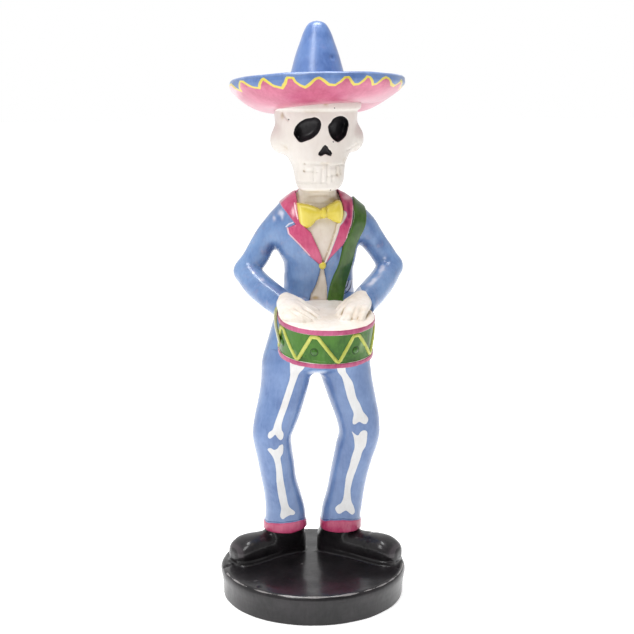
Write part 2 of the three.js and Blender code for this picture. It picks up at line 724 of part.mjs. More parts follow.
// The ledge where the hat sits on the forehead.
const HAT_BAND = [
  [192, 2, 4, 17.4, 17.1, 2.4],
  [193.2, 2, 4, 18.1, 17.8, 2.4],
  [195.4, 2, 4, 18.2, 17.9, 2.4],
];

const hatBand = () => column(HAT_BAND, { levels: 2 });

// The figure is one casting, so all of it is one solid.

const figure = () =>
  join(
    base(),
    Object.values(SHOES).map(shoe),
    Object.values(LEGS).map(leg),
    trunk(),
    skirt(),
    collar(),
    Object.values(ARMS).map(arm),
    drum(),
    Object.values(HANDS).map(hand),
    strap(),
    bowTie(),
    button(),
    head(),
    hatBand(),
    hat(),
  );

function meshOf(name, solid, finish) {
  const { vertProperties, triVerts } = solid.getMesh();
  const geometry = new THREE.BufferGeometry();
  geometry.setAttribute("position", new THREE.BufferAttribute(vertProperties, 3));
  geometry.setIndex(new THREE.BufferAttribute(triVerts, 1));
  geometry.computeVertexNormals();
  const mesh = new THREE.Mesh(geometry, new THREE.MeshStandardMaterial(finish));
  mesh.name = name;
  return mesh;
}

const part = new THREE.Group();
part.add(
  meshOf("skeleton_drummer_figure", figure(), { color: 0x6f8fcb, roughness: 0.32, metalness: 0 }),
);

export default part;
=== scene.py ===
# %% [markdown]
# # A painted resin drummer
# The real object is one resin casting, about 240 mm tall, painted by hand: a skeleton in a
# tailcoat and a wide hat, playing a drum on a round black base. This lesson models it as a
# sculptor would, in clay, and then paints it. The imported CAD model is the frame: it gives the
# size and the place of everything, and each sculpted piece stands in for a part of it.

# %% The frame and the units
import math

import bpy
import numpy as np
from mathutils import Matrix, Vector


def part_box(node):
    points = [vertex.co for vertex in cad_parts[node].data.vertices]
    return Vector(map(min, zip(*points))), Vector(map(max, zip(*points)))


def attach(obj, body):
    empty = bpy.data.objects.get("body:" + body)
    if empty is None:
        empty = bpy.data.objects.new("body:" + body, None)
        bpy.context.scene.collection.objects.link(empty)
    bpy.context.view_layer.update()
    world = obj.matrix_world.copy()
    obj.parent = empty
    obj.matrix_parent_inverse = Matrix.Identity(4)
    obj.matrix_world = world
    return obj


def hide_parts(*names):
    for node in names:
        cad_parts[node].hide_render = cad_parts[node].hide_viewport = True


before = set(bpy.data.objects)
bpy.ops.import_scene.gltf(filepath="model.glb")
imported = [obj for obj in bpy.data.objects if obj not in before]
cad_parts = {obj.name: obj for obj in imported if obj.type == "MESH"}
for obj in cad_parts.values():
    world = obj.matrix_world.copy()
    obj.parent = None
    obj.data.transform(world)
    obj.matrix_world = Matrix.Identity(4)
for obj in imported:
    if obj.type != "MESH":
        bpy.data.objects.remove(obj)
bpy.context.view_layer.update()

CASTING = "skeleton_drummer_figure"
low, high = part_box(CASTING)
SIZE = high.z - low.z  # the casting's height in metres
TALL = 239.88  # the same in the sculptor's millimetres
MM = SIZE / TALL
BASE_TOP = 12.75  # the tables below count heights from the top of the base
print(f"one sculptor's millimetre is {MM * 1000:.4f} mm")

# %% [markdown]
# ## The camera
# The photograph looks at the figure from a little to its right and from hat height, tilted
# down. The base's two ellipses and the hat's brim give the distance. The camera comes first,
# so that every later step can be looked at through it.

# %% The camera
RANGE, AZIMUTH, EYE_HEIGHT = 520, -8, 221.9  # mm, degrees, mm
AIM_HEIGHT, AIM_ASIDE = 119.8, 1.85
FIELD_OF_VIEW = 27.93  # degrees, across the square image


def camera_at(eye, aim, view):
    camera = bpy.data.objects.new("camera", bpy.data.cameras.new("camera"))
    camera.data.angle = math.radians(view)
    camera.data.clip_start = 0.01
    camera.location = eye
    camera.rotation_euler = (Vector(aim) - Vector(eye)).to_track_quat("-Z", "Y").to_euler()
    bpy.context.scene.collection.objects.link(camera)
    return camera


turn = math.radians(AZIMUTH)
eye = (RANGE * math.sin(turn) * MM, -RANGE * math.cos(turn) * MM, EYE_HEIGHT * MM)
aim = (AIM_ASIDE * math.cos(turn) * MM, AIM_ASIDE * math.sin(turn) * MM, AIM_HEIGHT * MM)
bpy.context.scene.camera = camera_at(eye, aim, FIELD_OF_VIEW)
print("camera at", [round(value, 4) for value in eye])

# %% [markdown]
# ## Clay
# Every form is a function that answers one question: how far is this point from my surface?
# The answer is negative inside. Two forms join by taking the smaller answer, and a soft
# minimum leaves the rounded fillet that a thumb leaves between two lumps of clay. Points are
# arrays of three rows, x, y and height, in the sculptor's millimetres.

# %% Joining and cutting
def join(a, b, soft=0.0):
    if not soft:
        return np.minimum(a, b)
    return np.minimum(a, b) - np.maximum(soft - np.abs(a - b), 0) ** 2 / (4 * soft)


def meet(a, b, soft=0.0):
    return -join(-a, -b, soft)


def cut(a, b, soft=0.0):
    return meet(a, -b, soft)


def ridge(line, width):
    """1 on a line and nothing a width away from it: for creases, lips and seams."""
    return np.exp(-((line / width) ** 2))


# %% A smooth curve through a table's rows
def smooth_rows(rows, step):
    """Rows start with their place. The curve is read off about every step."""
    rows = np.array(rows, float)
    place, value, last = rows[:, 0], rows[:, 1:], len(rows) - 1
    behind = np.maximum(np.arange(last + 1) - 1, 0)
    ahead = np.minimum(np.arange(last + 1) + 1, last)
    slope = (value[ahead] - value[behind]) / (place[ahead] - place[behind])[:, None]
    at = np.linspace(place[0], place[-1], int((place[-1] - place[0]) / step) + 2)
    i = np.clip(np.searchsorted(place, at, "right") - 1, 0, last - 1)
    span = (place[i + 1] - place[i])[:, None]
    t = (at - place[i])[:, None] / span
    ends = (2 * t**3 - 3 * t**2 + 1) * value[i] + (3 * t**2 - 2 * t**3) * value[i + 1]
    return at, ends + span * ((t**3 - 2 * t**2 + t) * slope[i] + (t**3 - t**2) * slope[i + 1])


# %% Forms with an outline at every height
def oval(u, v, half_u, half_v, power):
    """Distance from a rounded-square outline: power 2 is an ellipse, more is squarer."""
    s, t = np.abs(u) / half_u, np.abs(v) / half_v
    r = (s**power + t**power) ** (1 / power) + 1e-4
    steep = np.hypot((s / r) ** (power - 1) / half_u, (t / r) ** (power - 1) / half_v)
    return (r - 1) / steep


def column(rows, edge=1.0):
    """Rows of height, x, y, half width, half depth, squareness."""
    place, table = smooth_rows(rows, 0.25)

    def form(p):
        x, y, half_x, half_y, power = (np.interp(p[2], place, line) for line in table.T)
        side = oval(p[0] - x, p[1] - y, half_x, half_y, power)
        return meet(side, np.maximum(place[0] - p[2], p[2] - place[-1]), edge)

    return form


# %% Limbs and eggs
def close_to(form, corners, reach=4.0):
    """The same form, worked out only near the box of its corners, because that is quicker."""
    least, most = np.min(corners, 0) - reach, np.max(corners, 0) + reach

    def nearby(p):
        away = np.maximum(np.maximum(least[:, None] - p, p - most[:, None]), 0)
        answer = np.sqrt((away**2).sum(0)) + reach
        here = ~away.any(0)
        answer[here] = form(p[:, here])
        return answer

    return nearby


def limb(rows, per=5):
    """A limb along a smooth path of x, y, height and radius, in so many stretches a row."""
    path = smooth_rows([[i, *row] for i, row in enumerate(rows)], 1 / per)[1]
    widest = path[:, 3:].max()

    def form(p):
        answer = np.full(p.shape[1], np.inf)
        for start, end in zip(path, path[1:]):
            run, off = end - start, [p[k] - start[k] for k in range(3)]
            t = np.clip(sum(o * r for o, r in zip(off, run)) / (run[:3] ** 2).sum(), 0, 1)
            apart = np.sqrt(sum((o - t * r) ** 2 for o, r in zip(off, run)))
            answer = np.minimum(answer, apart - start[3] - t * run[3])
        return answer

    return close_to(form, [path[:, :3].min(0) - widest, path[:, :3].max(0) + widest])


def egg(middle, half, lean=0.0):
    """An egg that leans about y, in degrees."""
    middle, half = np.array(middle, float), np.array(half, float)
    c, s = math.cos(math.radians(lean)), math.sin(math.radians(lean))

    def form(p):
        x, y, z = p - middle[:, None]
        q = np.stack([c * x - s * z, y, s * x + c * z]) / half[:, None]
        size = np.sqrt((q**2).sum(0)) + 1e-4
        return size * (size - 1) / (np.sqrt(((q / half[:, None]) ** 2).sum(0)) + 1e-4)

    return close_to(form, [middle - half.max(), middle + half.max()])


# %% Turning a form
def turned(tilt, roll):
    """A turn by degrees about x, after one about y."""
    tilt, roll = math.radians(tilt), math.radians(roll)
    c, s, d, t = math.cos(tilt), math.sin(tilt), math.cos(roll), math.sin(roll)
    about_x = np.array([[1, 0, 0], [0, c, -s], [0, s, c]])
    about_y = np.array([[d, 0, t], [0, 1, 0], [-t, 0, d]])
    return about_x @ about_y


# %% Flat outlines
def line_away(u, v, points):
    """Distance from a line through points on a flat drawing."""
    away = np.full(np.shape(u), np.inf)
    for (au, av), (bu, bv) in zip(points, points[1:]):
        run_u, run_v = bu - au, bv - av
        t = np.clip(((u - au) * run_u + (v - av) * run_v) / (run_u**2 + run_v**2), 0, 1)
        away = np.minimum(away, (u - au - t * run_u) ** 2 + (v - av - t * run_v) ** 2)
    return np.sqrt(away)


def outline_away(u, v, points):
    """Distance from a closed outline, negative inside it."""
    closed = [*points, points[0]]
    inside = np.zeros(np.shape(u), bool)
    for (au, av), (bu, bv) in zip(closed, closed[1:]):
        if av != bv:
            inside ^= ((av > v) != (bv > v)) & (u < (bu - au) * (v - av) / (bv - av) + au)
    return np.where(inside, -1, 1) * line_away(u, v, closed)


# %% Outlines drawn with a brush
def closed_curve(points, per):
    """A smooth closed curve through points, with so many for each of them."""
    rows = [*points[-2:], *points, *points[:3]]
    rows = smooth_rows([[i, *row] for i, row in enumerate(rows)], 1 / per)
    kept = (rows[0] > 1.99) & (rows[0] < len(points) + 1.99)
    return rows[1][kept].tolist()


# %% [markdown]
# A hand-made casting is never quite true. A few long, low waves added to a form take the
# machine look off it. The waves come from a fixed seed, so each run gives the same figure.

# %% Unevenness of the hand
dice = np.random.default_rng(7)
WAVES = [(dice.normal(size=3), dice.uniform(0, 2 * math.pi)) for _ in range(7)]


def uneven(p, size):
    """Smooth waves between about -1 and 1, a size apart."""
    total = 0
    for way, start in WAVES:
        way = way / np.linalg.norm(way) * (2 * math.pi / size)
        total = total + np.sin(way[0] * p[0] + way[1] * p[1] + way[2] * p[2] + start)
    return total / 4


# %% Washes of thin paint
def washes(u, v, spots):
    """Soft spots of colour: a place, half width, half height and strength each."""
    total = 0
    for at_u, at_v, wide, tall, strength in spots:
        total = total + strength * ridge(np.hypot((u - at_u) / wide, (v - at_v) / tall), 0.8)
    return total


# %% [markdown]
# ## From clay to a mesh
# The clay is looked at on a grid. A coarse pass finds the blocks that the surface crosses, and
# only those are looked at closely. Where a small cube of the grid is partly inside, it gets one
# point, and neighbouring cubes are joined by faces. Each point is then pushed along the slope
# of the clay until it lies on the surface, so the facets don't show.

# %% Looking at the clay on a grid
BLOCK = 4  # fine cells along a coarse one
CHUNK = 150_000


def ask(form, p):
    """A form's answers for many points, a chunk at a time."""
    parts = [form(p[:, i : i + CHUNK]) for i in range(0, p.shape[1], CHUNK)]
    return np.concatenate(parts)


def slope_of(form, p, step=0.04):
    """The form's value and its slope at points, from four places round each."""
    corners = np.array([[1, -1, -1], [-1, -1, 1], [-1, 1, -1], [1, 1, 1]], float)
    answers = [ask(form, p + step * corner[:, None]) for corner in corners]
    slope = sum(corner[:, None] * answer for corner, answer in zip(corners, answers))
    return sum(answers) / 4, slope / (4 * step)


def clay_grid(form, least, most, cell):
    """The form's answers on a grid: exact near the surface, rough elsewhere."""
    counts = np.ceil((most - least) / (cell * BLOCK)).astype(int)
    block = np.indices(counts).reshape(3, -1)
    middle = least[:, None] + (block + 0.5) * BLOCK * cell
    rough = ask(form, middle)
    kept = np.abs(rough) < 1.5 * BLOCK * cell
    fine = np.indices((BLOCK,) * 3).reshape(3, -1)
    spots = block[:, kept, None] * BLOCK + fine[:, None, :]
    values = np.repeat(rough.astype(np.float32)[:, None], BLOCK**3, 1)
    p = least[:, None] + spots.reshape(3, -1) * cell
    values[kept] = ask(form, p).reshape(-1, BLOCK**3)
    values = values.reshape(*counts, BLOCK, BLOCK, BLOCK)
    return values.transpose(0, 3, 1, 4, 2, 5).reshape(counts * BLOCK)


# %% Skinning the grid
CUBE = np.array([[i, j, k] for i in (0, 1) for j in (0, 1) for k in (0, 1)])
CUBE_EDGES = [(a, b) for a in range(8) for b in range(a) if abs(CUBE[a] - CUBE[b]).sum() == 1]


def skin(values, least, cell):
    """One point in each cube that the surface crosses, and a face across each crossed edge."""
    inside = values < 0
    nx, ny, nz = (n - 1 for n in values.shape)
    seen = [inside[i : i + nx, j : j + ny, k : k + nz] for i, j, k in CUBE]
    mixed = np.logical_or.reduce(seen) & ~np.logical_and.reduce(seen)
    cubes = np.argwhere(mixed)
    number = np.full(mixed.shape, -1, np.int64)
    number[mixed] = np.arange(len(cubes))
    corner = [values[tuple((cubes + c).T)] for c in CUBE]
    total, hits = np.zeros((len(cubes), 3)), np.zeros((len(cubes), 1))
    for a, b in CUBE_EDGES:
        crossed = (corner[a] < 0) != (corner[b] < 0)
        t = np.where(crossed, corner[a] / np.where(crossed, corner[a] - corner[b], 1), 0)
        total += crossed[:, None] * (CUBE[a] + t[:, None] * (CUBE[b] - CUBE[a]))
        hits += crossed[:, None]
    points = least[:, None] + (cubes + total / hits).T * cell
    faces = []
    for axis in range(3):
        u, v = (axis + 1) % 3, (axis + 2) % 3
        near, far = (np.take(inside, range(s, s + inside.shape[axis] - 1), axis) for s in (0, 1))
        for first, way in ((near & ~far, 1), (far & ~near, -1)):
            at = np.argwhere(first)
            ring = []
            for du, dv in ((0, 0), (-1, 0), (-1, -1), (0, -1)):
                spot = at.copy()
                spot[:, u] += du
                spot[:, v] += dv
                ring.append(number[tuple(spot.T)])
            faces.append(np.stack(ring[::way], 1))
    return points, np.concatenate(faces)


# %% [markdown]
# Where forms meet in a crease, paint pools, and on proud edges it wears thin. The paint is also
# made darker in creases as painted shade, and lighter on proud edges as painted highlight. So each
# point also keeps how hollow its place is, and how far it lies inside each paint.
# Those numbers are attributes of the mesh, and the materials read them.

# %% From points to a surface
def in_metres(points):
    """Points in millimetres above the base, as metres above the table, a row each."""
    return ((points + np.array([[0], [0], [BASE_TOP]])) * MM).T.astype(np.float32)


def settled(form, points, cell):
    """Slides points along the slope until they lie on the form, and says which way is out."""
    for _ in range(3):
        value, slope = slope_of(form, points)
        step = value / np.maximum((slope**2).sum(0), 0.2)
        reach = np.sqrt((slope**2).sum(0)) * np.abs(step)
        points = points - slope * step * np.minimum(1, 0.5 * cell / np.maximum(reach, 1e-6))
    slope = slope_of(form, points)[1]
    return points, slope / np.maximum(np.sqrt((slope**2).sum(0)), 1e-6)


def hollowness(form, points, out, reach=1.3):
    """1 in a deep crease, 0 on a flat, and below 0 on a proud edge."""
    over, under = ask(form, points + out * reach), ask(form, points - out * reach)
    return np.clip(1 - (over - under) / (2 * reach) + 0.5 * (-under - over) / reach, -1, 1)


# %% A finished piece
FAR = -9.0  # of a paint that isn't near


def piece_of(name, form, corners, cell, paints=None):
    """Sculpts a form between two corners and keeps its paints as attributes, in mm."""
    least, most = (np.array(corner, float) for corner in corners)
    points, faces = skin(clay_grid(form, least, most, cell), least, cell)
    points, out = settled(form, points, cell)
    marks = {"hollow": hollowness(form, points, out)}
    for paint, amount in (paints or {}).items():
        marks[paint] = np.clip(amount(points), FAR, -FAR)
    mesh = bpy.data.meshes.new(name)
    mesh.vertices.add(points.shape[1])
    mesh.vertices.foreach_set("co", in_metres(points).ravel())
    mesh.loops.add(faces.size)
    mesh.loops.foreach_set("vertex_index", faces.astype(np.int32).ravel())
    mesh.polygons.add(len(faces))
    mesh.polygons.foreach_set("loop_start", np.arange(0, faces.size, 4, dtype=np.int32))
    mesh.update(calc_edges=True)
    for mark, amount in marks.items():
        values = mesh.attributes.new(mark, "FLOAT", "POINT")
        values.data.foreach_set("value", amount.astype(np.float32))
    mesh.shade_smooth()
    piece = bpy.data.objects.new(name, mesh)
    bpy.context.scene.collection.objects.link(piece)
    print(f"{name}: {2 * len(faces)} triangles")
    return piece


# %% [markdown]
# ## The base and the shoes
# The base is turned: its profile widens a little from the table up, and ends in a crisp top
# edge. The shoes are lofted along the foot, and they stand on soles with a proud welt. All are
# black and cast together, so they are one piece, with a small fillet where they meet.

# %% The base
BASE = [
    [0, -12.75], [38.5, -12.75], [38.7, -8], [39, -5], [39.5, -2.6], [39.55, -1.5],
    [39.2, -0.5], [38.5, 0], [0, 0],
]
BASE_X, BASE_ROUND = 0.15, 0.35
NICKS = [  # x, y, radius and depth of small knocks and grains in the casting
    [-5.7, -3.1, 0.5, -0.35], [-26.4, -18.3, 0.45, -0.3], [-25.5, -25.1, 0.7, 0.5],
    [2.8, 10.5, 0.5, -0.3], [34.5, -13.2, 0.6, 0.35], [-36.5, -0.8, 1.0, 0.7],
    [-35.2, 0.4, 0.8, -0.5], [-37.9, -2, 0.8, 0.6], [-12, -19, 0.4, -0.25], [14, -26, 0.35, 0.25],
]


def base(p):
    radius = np.hypot(p[0] - BASE_X, p[1])
    inner = [[max(0, r - BASE_ROUND), h + math.copysign(BASE_ROUND, -6.4 - h)] for r, h in BASE]
    knocks = sum(depth * ridge(np.hypot(p[0] - x, p[1] - y), r) for x, y, r, depth in NICKS)
    knocks = knocks * np.clip(p[2] / 3 + 1, 0, 1)
    return outline_away(radius, p[2], inner) - BASE_ROUND + 0.07 * uneven(p, 11) + knocks


# %% The shoes
SHOES = [([-28.6, 4], [-5.8, 15], 0.08), ([30.6, -4.4], [8.8, 12.8], 0.25)]  # toe, heel, fold
SHOE_ROWS = [  # share of the way from heel to toe, half width, height, lift of the underside
    [-0.19, 0.8, 8, 0], [-0.13, 3.6, 9.6, 0], [0, 5.4, 11, 0], [0.3, 5.3, 11.2, 0],
    [0.6, 5.9, 11, 0], [0.82, 6.8, 11.2, 0.5], [1, 7.2, 10.8, 1], [1.12, 6.6, 9.5, 1.3],
    [1.21, 5, 7.8, 1.8], [1.26, 2.4, 5.8, 2.8],
]
SOLE_HEIGHT, WELT, SUNK = 2.5, 0.25, 1.2
FOLD_PLACE = 0.72  # share of the way from heel to toe


def shoe(toe, heel, fold):
    toe, heel = np.array(toe), np.array(heel)
    length = np.linalg.norm(toe - heel)
    along = (toe - heel) / length
    place, table = smooth_rows(SHOE_ROWS, 0.01)
    rim = [[share * length, half * 0.93 + WELT] for share, (half, _, _) in zip(place, table)][::4]
    rim = [*rim, *[[u, -v] for u, v in rim[::-1]]]

    def form(p):
        x, y = p[0] - heel[0], p[1] - heel[1]
        ahead, aside = x * along[0] + y * along[1], y * along[0] - x * along[1]
        half, height, lift = (np.interp(ahead / length, place, line) for line in table.T)
        low = lift - SUNK
        upper = oval(aside, p[2] - (height + low) / 2, half, (height - low) / 2, 2.4)
        ends = np.maximum(place[0] - ahead / length, ahead / length - place[-1]) * length
        upper = meet(upper, ends, 0.8)
        crease = ridge(ahead / length - FOLD_PLACE - 0.012 * np.abs(aside), 0.035)
        upper = upper + fold * crease * np.clip(p[2] / 4 - 0.8, 0, 1)
        thick = SOLE_HEIGHT - 0.4 * ahead / length
        sole = meet(outline_away(ahead, aside, rim), p[2] - thick, 0.5)
        seams = ridge(p[2] - thick - 0.2, 0.25) + ridge(p[2] - thick - 1.3, 0.2)
        return join(upper + 0.15 * seams, meet(sole, -SUNK - p[2]), 0.4)

    ends = [[*toe, 0], [*heel, 12]]
    return close_to(form, [np.min(ends, 0) - 9, np.max(ends, 0) + 9])


shoes = [shoe(*one) for one in SHOES]
ankles = [
    column([[4, x, 12, 6, 5, 2], [9, x, 11, 7.6, 6.8, 2.1], [14, x, 9.9, 8.2, 7.9, 2.1]])
    for x in (-10.2, 13.2)
]


def both_shoes(p):
    parts = [join(one(p), ankle(p), 3.5) for one, ankle in zip(shoes, ankles)]
    return join(*parts)


def base_and_shoes(p):
    return join(base(p), both_shoes(p), 0.9)


def edge_glint(p):
    """A painted glint along the base's front edge, broken by the waves of the hand."""
    away = np.hypot(np.hypot(p[0] - BASE_X, p[1]) - 38.7, p[2] + 0.3)
    return np.where(p[1] < -8, 0.3 - away + 0.25 * uneven(p, 7), FAR)


round_base = piece_of(
    "round_base", base_and_shoes, [(-41, -43, -13.5), (42, 42, 16)], 0.5, {"edge_glint": edge_glint},
)

# %% [markdown]
# ## The trousers
# Two slim legs bow out at the knee, and end in turned-up cuffs. They are rows of ovals, the
# way a sculptor would set out sections, joined softly to the seat. The leg bones are painted
# on the cloth, not carved, so they are drawings that the mesh keeps as distances.

# %% The legs
RIGHT_LEG = [
    [9.6, -10.62, 10.0, 9.28, 8.8, 2.1], [14, -10.64, 9.86, 9.29, 8.83, 2.1],
    [17.5, -10.63, 9.59, 8.71, 8.56, 2.1], [21, -10.78, 9.18, 8.51, 8.24, 2.1],
    [28.6, -12.08, 8.14, 7.94, 7.92, 2.1], [36.2, -13.81, 6.83, 7.52, 7.79, 2.1],
    [43.7, -15.06, 5.59, 7.75, 7.87, 2.1], [50, -16.23, 4.8, 7.95, 8.2, 2.1],
    [55.1, -16.82, 4.4, 8.28, 8.7, 2.1], [59, -15.99, 4.57, 8.98, 9.13, 2.1],
    [63.5, -14.61, 5.0, 9.52, 9.6, 2.1], [70.2, -12.76, 5.58, 9.75, 10.07, 2.1],
    [77.8, -10.99, 6.27, 10.28, 10.67, 2.1], [86, -9.8, 7.0, 10.6, 11.4, 2.1],
    [93, -8.6, 7.0, 9.0, 11.0, 2.1],
]
LEFT_LEG = [
    [9.6, 13.3, 8.6, 8.91, 8.8, 2.1], [14, 13.33, 8.44, 8.95, 8.83, 2.1],
    [17.5, 13.53, 8.32, 8.64, 8.61, 2.1], [21, 14.03, 8.13, 8.62, 8.34, 2.1],
    [28.6, 15.42, 7.5, 8.22, 7.93, 2.1], [36.2, 16.61, 6.48, 8.17, 7.84, 2.1],
    [43.7, 18.14, 5.47, 8.5, 7.98, 2.1], [50, 19.67, 4.8, 8.96, 8.3, 2.1],
    [55.1, 20.74, 4.5, 8.84, 8.76, 2.1], [59, 20.57, 4.65, 9.03, 9.11, 2.1],
    [63.5, 19.75, 5.0, 9.54, 9.5, 2.1], [70.2, 17.89, 5.57, 10.12, 10.02, 2.1],
    [77.8, 15.92, 6.27, 10.76, 10.68, 2.1], [86, 13.94, 7.0, 11.46, 11.4, 2.1],
    [93, 12.34, 7.0, 9.66, 11.0, 2.1],
]
CUFF_X = [-20, -17.5, -9, -2, 4.5, 8, 13, 18, 21.4]  # across both legs
CUFF_TOP = [15.1, 16.6, 17.2, 17.6, 15.5, 17.2, 17.7, 16.9, 16.0]
HEM = [12.3, 12.3, 12.3, 13.5, 11.9, 11.9, 11.9, 11.9, 11.9]
CUFF_PROUD = 0.25
right_leg, left_leg = column(RIGHT_LEG, 0.6), column(LEFT_LEG, 0.6)

# %% The trunk, whose lower end is the seat
MIDDLE = 2.5
TRUNK = [
    [82.6, MIDDLE, 7.4, 16, 7, 2.2], [85.2, MIDDLE, 7.4, 21.4, 11, 2.2],
    [91, 3, 7.2, 21.4, 12, 2.2], [97, 3.2, 7, 20, 11.8, 2.2],
    [104.5, 3.4, 6.8, 17.7, 11, 2.2], [111.5, 3.5, 6.7, 15.3, 10, 2.2],
    [118.5, 3.5, 6.8, 13.9, 9, 2.2], [123, 3.4, 6.8, 13.7, 9.3, 2.2],
    [126, 3.55, 6.8, 13.6, 9.6, 2.25], [129.5, 3.7, 6.8, 14.2, 10.1, 2.3],
    [133.5, 3.1, 6.8, 15.5, 10.6, 2.3], [137, 2.9, 6.8, 16.4, 10.7, 2.3],
    [143, 3, 7, 17.4, 10.6, 2.3], [149, 3.3, 7.4, 17.2, 9.6, 2.3],
    [153, 3.1, 7.6, 13.4, 8.6, 2.2], [156.5, 2.8, 7.6, 9.6, 7.8, 2.1],
    [159, 2.7, 7.6, 7.6, 7.2, 2],
]
trunk = column(TRUNK, 2.0)


def cuff_top(p):
    """The upper edge of the turned-up cuffs: drawn in front, level behind."""
    front = np.clip((10 - p[1]) / 8, 0, 1)
    return 16 + front * (np.interp(p[0], CUFF_X, CUFF_TOP) - 16)


def trousers(p):
    """Two legs with proud cuffs, joined to the seat."""
    legs = [right_leg(p), left_leg(p)]
    top, hem = cuff_top(p), np.interp(p[0], CUFF_X, HEM)
    cuffs = [meet(leg - CUFF_PROUD, p[2] - top, 0.3) for leg in legs]
    legs = [meet(join(leg, cuff, 0.1), hem - p[2], 0.5) for leg, cuff in zip(legs, cuffs)]
    cloth = join(legs[0], legs[1], 1.5)
    seat = meet(trunk(p), p[2] - 112)
    return join(cloth, seat, 3.0) + 0.12 * uneven(p, 17)


# %% The painted bones, as outlines seen from the front: x and height
BONES = [
    [[-9.6, 95], [-2, 95], [-3.8, 87], [-6.2, 83.9], [-8.3, 78.5], [-11, 70.4], [-13.3, 64.1],
     [-13.7, 60.5], [-12.9, 58.8], [-13, 56.5], [-14.2, 55.6], [-15.5, 56.9], [-16.4, 58.3],
     [-17.3, 57.4], [-18.7, 56.5], [-19.5, 57.4], [-19.1, 59.2], [-17.5, 60.7], [-16.5, 63.7],
     [-14.2, 70], [-11.5, 78.1], [-10.1, 83.5]],
    [[-19.6, 51.9], [-18.2, 52.4], [-16.9, 51.5], [-15.5, 52], [-14.6, 53.3], [-13.1, 53.6],
     [-12.8, 52], [-13, 49.4], [-14, 47.3], [-13.3, 43], [-12.7, 37.9], [-11.5, 31.3],
     [-10.6, 26.3], [-9.7, 24.1], [-7.4, 21.8], [-7.9, 20.5], [-9.7, 20.5], [-11.5, 19.6],
     [-12.8, 18.7], [-13.9, 20], [-13.7, 22.3], [-13.6, 24.5], [-14.7, 29.4], [-15.6, 36.1],
     [-16, 42.5], [-16.8, 46.7], [-17.8, 48.8], [-19.1, 50.6]],
    [[8.9, 95], [12.6, 95], [13.3, 85.3], [14.2, 83], [16.4, 79.4], [17.8, 73.6], [19.6, 70],
     [20.9, 66.8], [22.3, 65], [23.2, 63.2], [22.3, 61.4], [20.9, 61.4], [19.2, 62.3],
     [17.6, 61.3], [16.6, 61.4], [16.4, 63.2], [16.8, 65.9], [15.8, 68.6], [14.2, 72.7],
     [13.3, 76.3], [11.8, 81.7], [9.7, 85.3]],
    [[16.1, 58.3], [17.5, 57], [18.8, 56.5], [19.8, 58.1], [21.4, 58.7], [22.7, 57.8],
     [22.7, 55.1], [22.3, 51.5], [20.9, 48.8], [20, 45.2], [18.7, 41.2], [17.3, 36.7],
     [16.4, 32.1], [16.4, 29.5], [16.9, 25.9], [18, 23.2], [18.5, 20.5], [17.3, 19.6],
     [16, 20.5], [14.6, 21.8], [13.3, 21.4], [11.9, 20.5], [10.6, 20.9], [9.8, 22.7],
     [10.8, 24.3], [12.3, 25.4], [13.3, 28.1], [13.7, 32.2], [14.2, 37.6], [15.3, 41.8],
     [16.4, 47], [17.4, 51], [17.1, 54.5], [16.7, 56.5]],
]


def bone_paint(p):
    inside = [-outline_away(p[0], p[2], closed_curve(bone, 4)) for bone in BONES]
    return np.minimum(np.maximum.reduce(inside), 3 - p[1])


trouser_piece = piece_of(
    "trousers", trousers, [(-28, -8, 9), (34, 22, 113)], 0.45,
    {
        "bone": bone_paint,
        "pink": lambda p: cuff_top(p) + 0.1 - p[2],
        # painted shade: a dark line just above the top of each cuff
        "cuff_shade_line": lambda p: 0.3 - np.abs(p[2] - cuff_top(p) - 0.55),
    },
)

# %% [markdown]
# ## The tailcoat
# The coat is the trunk made a little thicker, and then cut open over the shirt. The lapels are
# a second layer on it, cut to their notched outline. This is low relief: each layer is under a
# millimetre. The sleeves are round limbs, bent sharply at the elbow and pressed softly into the
# shoulders.

# %% Outlines on the chest, as seen from the front: x and height
COAT_THICK, COAT_FROM = 0.8, 112  # mm, and the height at which it starts
SHIRT_V = [
    [-5.4, 148], [-1.4, 142], [1.8, 135], [3.4, 129.6], [4.5, 129.6], [6.4, 135.4],
    [8.8, 142.6], [11.6, 148], [12.6, 152], [11.6, 164], [-6.4, 164], [-6.2, 152],
]
SHIRT_GAP = [
    [3.2, 129.8], [2.6, 126.4], [1.9, 123.6], [0.7, 120.2], [-1, 117.3], [-1.8, 113.5], [-2, 104],
    [5.8, 104], [5.8, 120.6], [5.2, 123.6], [4.5, 126.4], [4.1, 129.8],
]
RIGHT_LAPEL = [
    [-6.7, 159.5], [-9.4, 157], [-12.6, 154.2], [-12.1, 152.9], [-10.4, 150.6], [-7.3, 146.2],
    [-10.5, 144.6], [-10.1, 142.4], [-5.7, 137.8], [-1.9, 133.6], [1.9, 130.1], [3.4, 129.6],
    [3.3, 132.2], [1.5, 136.6], [0.2, 139.5], [-1.2, 142.8], [-3.6, 145], [-5, 147],
    [-5.9, 149.5], [-6.2, 153.4], [-6.5, 156],
]
LEFT_LAPEL = [
    [11.4, 159.5], [14.5, 158], [17.2, 156], [17.1, 153], [16.5, 149.4], [15.8, 145.8],
    [14.8, 143.7], [13.6, 140.4], [11.9, 137.4], [8.8, 134.6], [6.8, 132.6], [4.6, 130],
    [4.2, 130.6], [6.1, 135.2], [7.5, 139.1], [8.9, 143.2], [9.6, 146], [11.6, 148],
    [12.6, 150], [12.8, 152.3], [12.2, 155], [11.7, 157],
]
COAT_HEM = [[-14, 117.6], [-11, 117.2], [-7, 116.4], [-2, 115.2]]

